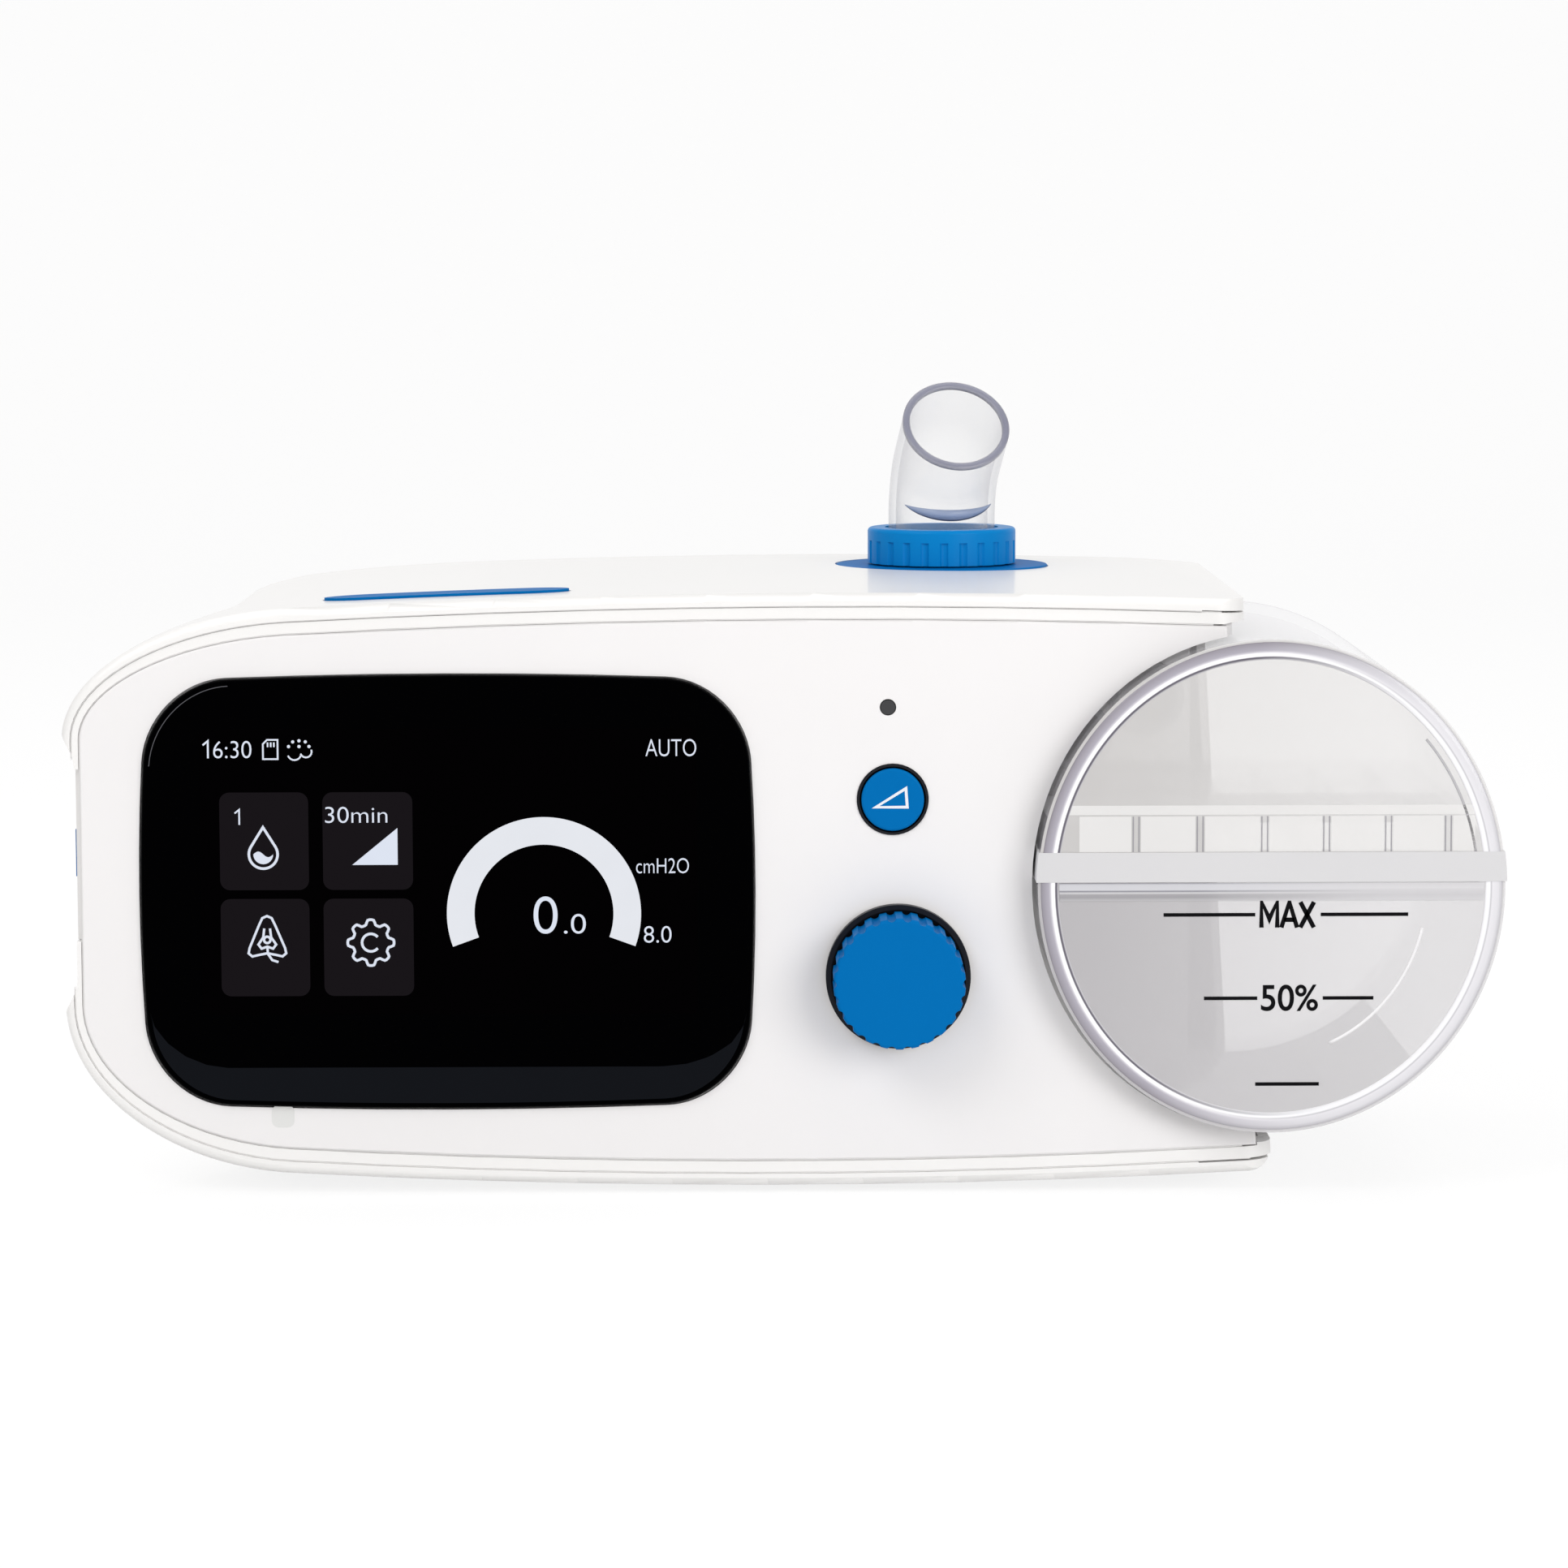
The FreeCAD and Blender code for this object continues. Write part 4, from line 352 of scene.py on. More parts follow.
CAMERA_PLACE = Vector((-4.6, -1056.0, 186.0)) * MM
CAMERA_YAW = 0.0048
CAMERA_PITCH = 0.1062
CAMERA_ROLL = -0.0028
FOCAL_PIXELS = 6475.0
IMAGE_PIXELS = 1932.0
SENSOR = 36.0
CLIP_START = 0.01

camera_data = bpy.data.cameras.new("camera")
camera_data.sensor_width = SENSOR
camera_data.lens = FOCAL_PIXELS / IMAGE_PIXELS * SENSOR
camera_data.clip_start = CLIP_START
camera = bpy.data.objects.new("camera", camera_data)
COLLECTION.objects.link(camera)
turn = Matrix.Rotation(-CAMERA_YAW, 4, "Z")
tilt = Matrix.Rotation(math.radians(90.0) - CAMERA_PITCH, 4, "X")
roll = Matrix.Rotation(CAMERA_ROLL, 4, "Z")
camera.matrix_world = Matrix.Translation(CAMERA_PLACE) @ turn @ tilt @ roll
bpy.context.scene.camera = camera


def area_light(name, place, target, width, height, power):
    """A soft rectangular studio light that faces the target."""
    data = bpy.data.lights.new(name, "AREA")
    data.shape = "RECTANGLE"
    data.size = width
    data.size_y = height
    data.energy = power
    lamp = bpy.data.objects.new(name, data)
    COLLECTION.objects.link(lamp)
    lamp.location = place
    aim = (Vector(target) - Vector(place)).to_track_quat("-Z", "Y")
    lamp.rotation_euler = aim.to_euler()


area_light("key_light", (-0.9, -1.1, 1.3), (0.0, 0.0, 0.06), width=1.0, height=0.8, power=8.6)
area_light("fill_light", (0.9, -1.2, 0.45), (0.0, 0.0, 0.06), width=0.8, height=0.7, power=8.0)
area_light("top_light", (0.0, 0.25, 1.4), (0.0, 0.0, 0.05), width=1.2, height=0.8, power=4.0)

# The world lights with a pale grey, and the camera sees it as white
SKY_GREY = (0.93, 0.92, 0.92, 1.0)
SKY_STRENGTH = 0.66
SKY_SEEN = (0.97, 0.97, 0.97, 1.0)
PAPER_GLOW = 0.83
world = bpy.data.worlds.new("studio")
world.use_nodes = True
bpy.context.scene.world = world
sky = world.node_tree.nodes["Background"]
sky.inputs["Color"].default_value = SKY_GREY
sky.inputs["Strength"].default_value = SKY_STRENGTH
white = add_node(world.node_tree, "ShaderNodeBackground", {"Color": SKY_SEEN})
camera_ray = add_node(world.node_tree, "ShaderNodeLightPath", {}, out="Is Camera Ray")
grey = Sock(world.node_tree, sky.outputs[0])
choice = add_node(world.node_tree, "ShaderNodeMixShader", {0: camera_ray, 1: grey, 2: white})
wire(world.node_tree, choice, world.node_tree.nodes["World Output"].inputs["Surface"])
bpy.context.scene.view_settings.view_transform = "Standard"


def paper_white():
    """White paper that the camera, gloss and clear plastic see glowing and that gives no light."""
    finish = Finish("floor_white", (0.8, 0.8, 0.8), 0.9, specular=0.0)
    seen, gloss, through = (finish.node("ShaderNodeLightPath", out=kind + " Ray")
                            for kind in ("Is Camera", "Is Glossy", "Is Transmission"))
    for other in (gloss, through):
        seen = seen.maths("MAXIMUM", seen, other)
    plain = finish.mix(finish.noise(3.0), (0.78, 0.78, 0.78), (0.82, 0.82, 0.82))
    finish.set("Base Color", finish.mix(seen, plain, (0.2, 0.2, 0.2)))
    finish.set("Emission Color", finish.mix(seen, (0.0, 0.0, 0.0), (1.0, 1.0, 1.0)))
    finish.set("Emission Strength", PAPER_GLOW)
    return finish.material


def sweep_floor():
    """A pale floor that curves up into a backdrop behind the object."""
    half_width = 2.5
    near = -2.5
    far = 1.6
    bend = 0.8
    height = 3.0
    steps = 16
    profile = [(near, 0.0), (far, 0.0)]
    for step in range(1, steps + 1):
        angle = math.radians(90.0) * step / steps
        profile.append((far + bend * math.sin(angle), bend * (1.0 - math.cos(angle))))
    profile.append((far + bend, height))
    shape = bmesh.new()
    rows = []
    for y, z in profile:
        rows.append([shape.verts.new((x, y, z)) for x in (-half_width, half_width)])
    for row, after in zip(rows, rows[1:]):
        shape.faces.new((row[0], row[1], after[1], after[0])).smooth = True
    mesh = bpy.data.meshes.new("floor")
    shape.to_mesh(mesh)
    shape.free()
    mesh.materials.append(paper_white())
    floor = bpy.data.objects.new("floor", mesh)
    COLLECTION.objects.link(floor)


sweep_floor()


# Drawings and mouldings

LIFT = 0.05                    # how far a drawing stands out, in millimetres
LETTER_WEIGHT = -0.008         # thins the letters of the built-in typeface
LETTER_DEPTH = 0.01
FLAG_REACH = 0.3               # the flag of a figure 1, as shares of its height
FLAG_DROP = 0.24
CLOSED_WITHIN = 1e-6
SHARPEST_MITRE = 0.35
CORNER_STEPS = 6
FULL_TURN = 360.0
ACROSS = "across"              # UV map that runs across a moulding


def mesh_of(name, shape):
    """Turn a bmesh into a mesh whose faces look outwards."""
    bmesh.ops.recalc_face_normals(shape, faces=shape.faces)
    mesh = bpy.data.meshes.new(name)
    shape.to_mesh(mesh)
    shape.free()
    return mesh


def add_piece(name, mesh, material, body):
    """Make an object that rides on a body and wears a material."""
    made = bpy.data.objects.new(name, mesh)
    COLLECTION.objects.link(made)
    mesh.materials.append(material)
    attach(made, body)


class Sheet:
    """A drawing plane that faces the front; lengths are in millimetres from its centre."""

    def __init__(self, centre_x, front_y, centre_z, body):
        self.centre_x = centre_x
        self.front_y = front_y
        self.centre_z = centre_z
        self.body = body

    def place(self, u, v, lift):
        return Vector((self.centre_x + u * MM, self.front_y - lift * MM, self.centre_z + v * MM))

    def plates(self, name, outlines, material, slot, lift=LIFT):
        """Thin plates cut to closed outlines."""
        shape = bmesh.new()
        for outline in outlines:
            corners = [shape.verts.new(self.place(u, v, lift)) for u, v in outline]
            front = shape.faces.new(corners)
            block = bmesh.ops.extrude_face_region(shape, geom=[front], use_keep_orig=True)
            back = [part for part in block["geom"] if isinstance(part, bmesh.types.BMVert)]
            bmesh.ops.translate(shape, verts=back, vec=(0.0, lift * MM, 0.0))
        caps = [face for face in shape.faces if len(face.verts) > 4]
        bmesh.ops.triangulate(shape, faces=caps)
        add_piece(name, mesh_of(name, shape), material, self.body)

    def strokes(self, name, paths, material, slot, width, lift=LIFT):
        """Lines of one width along open or closed paths."""
        outlines = [quad for path in paths for quad in stroke_quads(path, width)]
        self.plates(name, outlines, material, slot, lift)

    def text(self, name, words, box, material, slot, lift=LIFT, weight=LETTER_WEIGHT):
        """Lettering that fills a box (left, low, right, high)."""
        curve = bpy.data.curves.new(name, "FONT")
        curve.body = words
        curve.extrude = LETTER_DEPTH
        curve.offset = weight
        source = bpy.data.objects.new(name + "_curve", curve)
        mesh = bpy.data.meshes.new_from_object(source)
        bpy.data.objects.remove(source)
        xs = [vertex.co.x for vertex in mesh.vertices]
        ys = [vertex.co.y for vertex in mesh.vertices]
        left, low, right, high = box
        scale_u = (right - left) / (max(xs) - min(xs))
        scale_v = (high - low) / (max(ys) - min(ys))
        for vertex in mesh.vertices:
            u = left + (vertex.co.x - min(xs)) * scale_u
            v = low + (vertex.co.y - min(ys)) * scale_v
            vertex.co = self.place(u, v, lift if vertex.co.z > 0.0 else 0.0)
        mesh.materials.clear()
        add_piece(name, mesh, material, self.body)


def front_sheet(node, body):
    """The sheet on the middle of a node's front face."""
    low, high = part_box(node)
    return Sheet((low.x + high.x) / 2, low.y, (low.z + high.z) / 2, body)


def hoop(name, profile, spot, material, body, steps, start=0.0, end=FULL_TURN):
    """A moulding swept round; spot places an angle and a point of the profile, in millimetres."""
    shape = bmesh.new()
    layout = shape.loops.layers.uv.new(ACROSS)
    whole = end - start >= FULL_TURN
    count = steps if whole else steps + 1
    rows = []
    for step in range(count):
        angle = math.radians(start + (end - start) * step / steps)
        rows.append([shape.verts.new(spot(angle, inset, proud)) for inset, proud in profile])
    reach = max(inset for inset, proud in profile) - profile[0][0]
    for step in range(steps):
        row, after = rows[step], rows[(step + 1) % count]
        for index in range(len(profile)):
            other = (index + 1) % len(profile)
            side = shape.faces.new((row[index], row[other], after[other], after[index]))
            side.smooth = True
            for loop, place in zip(side.loops, (index, other, other, index)):
                loop[layout].uv = (step / steps, (profile[place][0] - profile[0][0]) / reach)
    if not whole:
        shape.faces.new(rows[0])
        shape.faces.new(list(reversed(rows[-1])))
    add_piece(name, mesh_of(name, shape), material, body)


def stroke_quads(path, width):
    """Four-cornered runs along a path, mitred where they meet."""
    points = [Vector(point) for point in path]
    closed = (points[0] - points[-1]).length < CLOSED_WITHIN
    sides = []
    for index, point in enumerate(points):
        if closed and index in (0, len(points) - 1):
            before, after = points[-2], points[1]
        else:
            before = points[max(index - 1, 0)]
            after = points[min(index + 1, len(points) - 1)]
        into = (point - before).normalized() if (point - before).length > 0 else (after - point).normalized()
        out = (after - point).normalized() if (after - point).length > 0 else into
        along = (into + out).normalized()
        across = Vector((-along.y, along.x))
        reach = width / 2 / max(across.dot(Vector((-out.y, out.x))), SHARPEST_MITRE)
        sides.append((point + across * reach, point - across * reach))
    return [[first[0], first[1], second[1], second[0]] for first, second in zip(sides, sides[1:])]


def arc_points(centre, radius, start, end, steps):
    """Points on an arc; angles in degrees, anticlockwise from the right."""
    points = []
    for step in range(steps + 1):
        angle = math.radians(start + (end - start) * step / steps)
        points.append((centre[0] + radius * math.cos(angle), centre[1] + radius * math.sin(angle)))
    return points


def round_box(left, low, right, high, radius):
    """Rectangle with round corners."""
    corners = [(right - radius, high - radius, 0), (left + radius, high - radius, 90),
               (left + radius, low + radius, 180), (right - radius, low + radius, 270)]
    outline = []
    for x, y, start in corners:
        outline.extend(arc_points((x, y), radius, start, start + 90, CORNER_STEPS))
    return outline


def between(inner, outer):
    """Quads that fill the band between two lines of equally many points."""
    return [[inner[i], inner[i + 1], outer[i + 1], outer[i]] for i in range(len(inner) - 1)]


def around(centre, points):
    """Points that are given from a centre."""
    return [(centre[0] + u, centre[1] + v) for u, v in points]


def figure_one(u, low, high):
    """The figure 1 as a flag and a stem."""
    rise = high - low
    return [(u - FLAG_REACH * rise, high - FLAG_DROP * rise), (u, high), (u, low)]


# Display

screen = front_sheet("display_glass", "casing")
ICON = glowing("screen_icon", (0.74, 0.79, 0.90))
DIAL = glowing("screen_dial", (0.80, 0.82, 0.87))
TILE = glowing("screen_tile", (0.0098, 0.0080, 0.0098))
FIELD = glowing("screen_field", (0.0008, 0.0006, 0.0008))
GLASS_SLOT = "black_glass"

screen.plates("screen_field", [round_box(-47.1, -23.5, 47.9, 31.6, radius=1.2)], FIELD, GLASS_SLOT, lift=0.01)
tile_columns = ((-43.4, -26.4), (-23.7, -6.5))
tile_rows = ((0.7, 19.5), (-19.8, -1.0))
tiles = [round_box(left, low, right, high, radius=1.9)
         for left, right in tile_columns for low, high in tile_rows]
screen.plates("screen_tiles", tiles, TILE, GLASS_SLOT, lift=0.03)

screen.text("clock", "6:30", (-44.4, 26.1, -37.1, 29.4), ICON, GLASS_SLOT)
screen.strokes("clock_one", [figure_one(-45.4, 26.1, 29.4)], ICON, GLASS_SLOT, width=0.36)
screen.text("mode_label", "AUTO", (38.1, 26.2, 47.8, 29.5), ICON, GLASS_SLOT)
screen.strokes("tile_level", [figure_one(-39.6, 13.3, 16.2)], ICON, GLASS_SLOT, width=0.32)
for name, words, box in (("tile_ramp_time", "30min", (-23.2, 13.6, -11.3, 16.7)),
                         ("dial_value", "0", (16.5, -7.9, 21.1, -0.7)),
                         ("dial_decimal", ".0", (22.3, -7.9, 26.5, -4.1)),
                         ("dial_unit", "cmH2O", (36.2, 3.7, 46.3, 6.6)),
                         ("dial_limit", "8.0", (37.6, -9.7, 42.9, -6.5))):
    screen.text(name, words, box, ICON, GLASS_SLOT)

dial_centre = (18.5, -4.0)
dial_inner = arc_points(dial_centre, 13.3, -20, 200, 72)
dial_outer = arc_points(dial_centre, 18.6, -20, 200, 72)
screen.plates("dial_arc", between(dial_inner, dial_outer), DIAL, GLASS_SLOT)

# Card and air icons beside the clock
card = [(-32.1, 25.9), (-32.1, 29.6), (-34.1, 29.6), (-34.9, 28.8), (-34.9, 25.9), (-32.1, 25.9)]
contacts = [[(u, 28.2), (u, 29.1)] for u in (-34.0, -33.4, -32.8)]
screen.strokes("card_icon", [card] + contacts, ICON, GLASS_SLOT, width=0.32)
breath = [arc_points((-28.9, 27.0), 1.3, 200, 340, 8), arc_points((-26.7, 27.3), 1.1, 200, 380, 8)]
screen.strokes("air_icon", breath, ICON, GLASS_SLOT, width=0.32)
dots = ((-30.0, 28.3), (-29.2, 29.2), (-28.0, 29.4), (-26.8, 29.2), (-26.1, 28.3), (-28.0, 28.3))
rounds = [arc_points(dot, 0.32, 0, 360, 10)[:-1] for dot in dots]
screen.plates("air_icon_dots", rounds, ICON, GLASS_SLOT)

# Water drop: most of a circle drawn up to a point, and the water in it
drop_centre = (-35.1, 7.6)
drop_radius = 2.75
drop_top = 5.2
waist = drop_radius * 0.45
shoulder = drop_top * 0.62
drop = arc_points(drop_centre, drop_radius, 150, 390, 24)
drop += around(drop_centre, [(waist, shoulder), (0.0, drop_top), (-waist, shoulder)]) + drop[:1]
screen.strokes("drop_icon", [drop], ICON, GLASS_SLOT, width=0.5)
bowl_radius = 1.9
ripple = 0.55
wave_steps = 12
wave = [(-bowl_radius + 2 * bowl_radius * step / wave_steps, ripple * math.sin(math.tau * step / wave_steps))
        for step in range(wave_steps + 1)]
bowl = arc_points(drop_centre, bowl_radius, 0, -180, wave_steps)
screen.plates("drop_water", [around(drop_centre, wave) + bowl[1:-1]], ICON, GLASS_SLOT)
screen.plates("ramp_icon", [[(-18.1, 5.5), (-9.4, 5.5), (-9.4, 12.6)]], ICON, GLASS_SLOT)

# Mask icon: a nose cushion on a rounded triangle with a short hose
mask_centre = (-34.55, -8.6)
mask_rim = [(0.0, 4.3), (-0.9, 3.9), (-1.6, 2.4), (-3.4, -1.9), (-3.6, -2.9),
            (-2.9, -3.5), (-1.6, -3.2), (0.0, -2.9), (1.6, -3.2), (2.9, -3.5),
            (3.6, -2.9), (3.4, -1.9), (1.6, 2.4), (0.9, 3.9), (0.0, 4.3)]
mask_nose = [(-0.55, 1.9), (-0.75, 0.2), (-1.7, -1.2), (-1.1, -2.0), (0.0, -1.6),
             (1.1, -2.0), (1.7, -1.2), (0.75, 0.2), (0.55, 1.9)]
mask_ring = arc_points((0.0, -0.3), 0.62, 0, 360, 14)
mask_hose = [(0.0, -1.6), (0.1, -3.0), (0.9, -4.2), (2.1, -4.6)]
mask_lines = [around(mask_centre, line) for line in (mask_rim, mask_nose, mask_ring, mask_hose)]
screen.strokes("mask_icon", mask_lines, ICON, GLASS_SLOT, width=0.45)

# Gear icon with an open ring inside
gear_centre = (-14.7, -9.5)
gear_radius = 3.95
tooth_height = 0.5
tooth_edge = 2.2
teeth = 8
gear_steps = 96
gear = []
for step in range(gear_steps + 1):
    angle = math.tau * step / gear_steps
    radius = gear_radius + tooth_height * math.tanh(tooth_edge * math.cos(teeth * angle))
    gear.append((radius * math.cos(angle), radius * math.sin(angle)))
gear_lines = [around(gear_centre, gear), arc_points(gear_centre, 1.7, 40, 320, 20)]
screen.strokes("gear_icon", gear_lines, ICON, GLASS_SLOT, width=0.5)

# Ramp mark on its key
key = front_sheet("ramp_button", "ramp_button")
KEY_MARK = moulded("key_mark", (0.82, 0.84, 0.88), 0.5)
ramp_mark = [(-3.3, -1.4), (2.75, -1.4), (2.5, 2.2), (-3.3, -1.4)]
key.strokes("ramp_key_mark", [ramp_mark], KEY_MARK, "panel_white", width=0.54, lift=0.03)

# Level marks printed on the front of the tub
tub = Sheet(tank_x, tank_low.y, 0.0, "tank")
INK = moulded("level_ink", (0.004, 0.004, 0.005), 0.6, grain=0.0, specular=0.05)
level_lines = [((left, height), (right, height))
               for left, right, height in ((-20.6, -3.1, 54.7), (9.4, 26.1, 54.7), (-12.8, -2.6, 38.6),
                                           (9.9, 19.6, 38.6), (-2.9, 9.3, 22.0))]
tub.strokes("level_lines", level_lines, INK, "black_plastic", width=0.68, lift=0.04)
max_strokes = [[(-1.9, 52.2), (-1.9, 57.1), (-0.4, 53.8), (1.1, 57.1), (1.1, 52.2)],
               [(1.9, 52.2), (3.4, 57.1), (4.9, 52.2)], [(2.4, 53.7), (4.4, 53.7)],
               [(5.5, 57.1), (8.1, 52.2)], [(8.1, 57.1), (5.5, 52.2)]]
tub.strokes("level_max", max_strokes, INK, "black_plastic", width=0.86, lift=0.04)
tub.text("level_half", "50%", (-1.9, 36.1, 9.0, 41.2), INK, "black_plastic", lift=0.04, weight=0.012)


# Glass: a painted reflection as a paler band along its lower edge and a painted highlight as a bright line at
# its upper left corner

FRONT_WITHIN = 0.01            # millimetres
GLASS_FLATNESS = 0.7
BAND_POINTS = 90
BAND_BELOW = -24.0
GLINT_ABOVE = 19.0
GLINT_LEFT_OF = -36.0
SHORTEST = 1e-9


def glass_outline(share):
    """The outline of the glass's front face about its centre, drawn in to a share of its size."""
    vertices = bpy.data.objects["display_glass"].data.vertices
    front = min(vertex.co.y for vertex in vertices)
    places = [((vertex.co.x - screen.centre_x) / MM, (vertex.co.z - screen.centre_z) / MM)
              for vertex in vertices if vertex.co.y < front + FRONT_WITHIN * MM]
    places.sort(key=lambda place: math.atan2(place[1] / GLASS_FLATNESS, place[0]))
    return [(u * share, v * share) for u, v in places]


def spaced(path, count):
    """Evenly spaced points along a path."""
    lengths = [0.0]
    for first, second in zip(path, path[1:]):
        lengths.append(lengths[-1] + math.dist(first, second))
    points = []
    index = 0
    for step in range(count):
        reach = lengths[-1] * step / (count - 1)
        while index < len(path) - 2 and lengths[index + 1] < reach:
            index += 1
        share = (reach - lengths[index]) / max(lengths[index + 1] - lengths[index], SHORTEST)
        points.append(tuple(a + (b - a) * share for a, b in zip(path[index], path[index + 1])))
    return points


# painted reflection: a glowing paler band along the glass's lower edge
GLASS_PAINTED_REFLECTION = glowing("glass_painted_reflection", (0.0075, 0.0084, 0.0108))
# painted highlight: a glowing bright line at the glass's upper left corner
GLINT = glowing("glass_glint", (0.10, 0.10, 0.11))
band_low = [(u, v) for u, v in glass_outline(0.996) if v < BAND_BELOW]
band_high = [(-57.2, -23.0), (-56.4, -25.6), (-54.0, -28.8), (-50.6, -31.4), (-46.5, -33.1), (-42.5, -33.7),
             (41.0, -33.7), (45.8, -33.2), (50.2, -31.8), (54.2, -29.3), (56.6, -26.0), (57.4, -23.0)]
band = between(spaced(band_low, BAND_POINTS), spaced(band_high, BAND_POINTS))
screen.plates("glass_painted_reflection", band, GLASS_PAINTED_REFLECTION, GLASS_SLOT, lift=0.01)
glint = [(u, v) for u, v in glass_outline(0.995) if u < GLINT_LEFT_OF and v > GLINT_ABOVE]
screen.strokes("glass_glint", [glint], GLINT, GLASS_SLOT, width=0.16, lift=0.02)

# A faint grey square on the panel below the display
panel = Sheet(0.0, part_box("front_panel")[0].y, 0.0, "casing")
PANEL_GREY_SQUARE = moulded("panel_grey_square", (0.77, 0.77, 0.755), 0.4)
window = round_box(-98.6, 13.2, -94.2, 17.6, radius=1.4)
panel.plates("panel_grey_square", [window], PANEL_GREY_SQUARE, "panel_white", lift=0.02)


# Soft beads in the two seams round the front

HALF_WIDTH = 138.0
CORNER_WIDTH = 43.0
ARCH_START = 0.015             # share of the arch left out at the right end
ARCH_STEPS = 60
CORNER_START = 0.02
SEAM_STEPS = 40
BEAD_DEPTH = 0.4
TOP = {"way": -1, "level": 113.3, "bulge": 2.0, "tilt": 1.2, "corner_height": 25.0, "right_end": 88.4}
BOTTOM = {"way": 1, "level": 4.1, "bulge": 2.7, "tilt": 0.0, "corner_height": 33.0, "right_end": 94.6}


def bow(start, end, bulge, first, steps):
    """Points on a shallow arch between two ends, from a share of its span on."""
    points = []
    for step in range(steps + 1):
        share = first + (1.0 - first) * step / steps
        rise = 4.0 * bulge * share * (1.0 - share)
        points.append((start[0] + (end[0] - start[0]) * share, start[1] + (end[1] - start[1]) * share + rise))
    return points


def quarter_ellipse(start, tip, end, first, steps):
    """Points on the quarter of an ellipse that touches start-tip and tip-end, from a share of it on."""
    points = []
    for step in range(steps + 1):
        share = first + (1.0 - first) * step / steps
        weights = ((1 - share) ** 2, 2 * share * (1 - share) * math.sqrt(0.5), share ** 2)
        total = sum(weights)
        points.append(tuple(sum(w * p[axis] for w, p in zip(weights, (start, tip, end))) / total
                            for axis in (0, 1)))
    return points


def seam(side, edge, stop, way, level, bulge, tilt, corner_height, right_end):
    """The front outline set in by side and by edge: an arch and the left end, as far as a height.

    way is 1 where the seam climbs from its arch and -1 where it falls. level is the height of
    the arch's ends, and tilt lifts the right one.
    """
    corner = (CORNER_WIDTH - HALF_WIDTH, level + way * edge)
    right = (right_end - side, corner[1] + tilt)
    slope = (4.0 * bulge + tilt) / (right[0] - corner[0])
    tip = (side - HALF_WIDTH, corner[1] + way * slope * CORNER_WIDTH)
    left = (side - HALF_WIDTH, level + way * corner_height)
    arch = bow(right, corner, -way * bulge, ARCH_START, ARCH_STEPS)
    return arch + quarter_ellipse(corner, tip, left, CORNER_START, SEAM_STEPS) + [(left[0], stop)]


BEAD = moulded("seam_bead", (0.84, 0.83, 0.82), 0.6)
# Each bead: its name, its plane, its outer and inner insets, and the heights where its two arms end
for name, front_y, outer, inner, low, high in (
        ("casing_bead", -55.25, (1.74, 2.44), (1.96, 2.66), 84.4, 40.6),
        ("panel_bead", -55.20, (3.29, 4.84), (3.51, 5.06), 62.5, 62.5)):
    bands = between(seam(*inner, low, **TOP), seam(*outer, low, **TOP))
    bands += between(seam(*inner, high, **BOTTOM), seam(*outer, high, **BOTTOM))
    seam_sheet = Sheet(0.0, front_y * MM, 0.0, "casing")
    seam_sheet.plates(name, bands, BEAD, "panel_white", lift=BEAD_DEPTH)


# Moulded rim round the front of the tank; its tones are painted highlight and painted shade

TANK_X = tank_x / MM
TANK_Z = 60.0
TANK_HALF_WIDTH = 44.6
TANK_HALF_HEIGHT = 47.4
TONE_LEFT = 14.0               # the tones change from here left of the tank's middle
TONE_WIDTH = 34.0              # over this width
TONE_LEAN = 0.25               # along a line that leans
TONE_SOFTNESS = 0.2
face = Sheet(TANK_X * MM, tank_low.y, TANK_Z * MM, "tank")


def painted_light_tones(name, left_tones, right_tones, alpha, rise=None):
    """Edge-on clear plastic with a bright painted highlight and dark painted shade lines across a moulding,
    crisp on the left, paler and soft on the right.

    The tones run along the moulding's UV map, or upwards between two heights in millimetres.
    """
    finish = Finish(name, (0.5, 0.5, 0.5), 0.15, alpha=alpha)
    x, _, z = finish.place.parts()
    if rise:
        low, high = rise
        level = (z - low * MM) * (1.0 / ((high - low) * MM))
    else:
        level = finish.node("ShaderNodeUVMap", uv_map=ACROSS).parts()[1]
    lean = (TANK_Z * MM - z) * TONE_LEAN
    sides = (x - (TANK_X - TONE_LEFT) * MM + lean) * (1.0 / (TONE_WIDTH * MM))
    sides = sides.maths("SMOOTH_MIN", sides, 1.0, TONE_SOFTNESS).held(0.0, 1.0)
    left, right = (finish.node("ShaderNodeValToRGB", {0: level}, stops=tones)
                   for tones in (left_tones, right_tones))
    finish.set("Base Color", finish.mix(sides, left, right))
    return finish.material


def on_tank_face(angle, inset, proud):
    """A place on the tank's outline, set in from its edge and proud of its front."""
    across = (TANK_HALF_WIDTH - inset) * math.cos(angle)
    up = (TANK_HALF_HEIGHT - inset) * math.sin(angle)
    return face.place(across, up, proud)


LEFT_RIM_PAINTED_LIGHT = ((0.0, (0.20, 0.18, 0.20)), (0.14, (0.31, 0.29, 0.33)), (0.5, (0.42, 0.40, 0.46)),
            (0.58, (0.60, 0.58, 0.63)), (0.66, (0.98, 0.97, 0.99)), (0.80, (0.98, 0.97, 0.99)),
            (0.85, (0.10, 0.09, 0.12)), (0.92, (0.14, 0.13, 0.16)), (1.0, (0.72, 0.71, 0.74)))
RIGHT_RIM_PAINTED_LIGHT = ((0.0, (0.42, 0.41, 0.44)), (0.12, (0.56, 0.55, 0.58)), (0.3, (0.72, 0.71, 0.74)),
             (0.6, (0.77, 0.76, 0.79)), (0.67, (0.54, 0.53, 0.56)), (0.74, (0.91, 0.91, 0.93)),
             (0.88, (0.91, 0.91, 0.93)), (1.0, (0.80, 0.79, 0.81)))
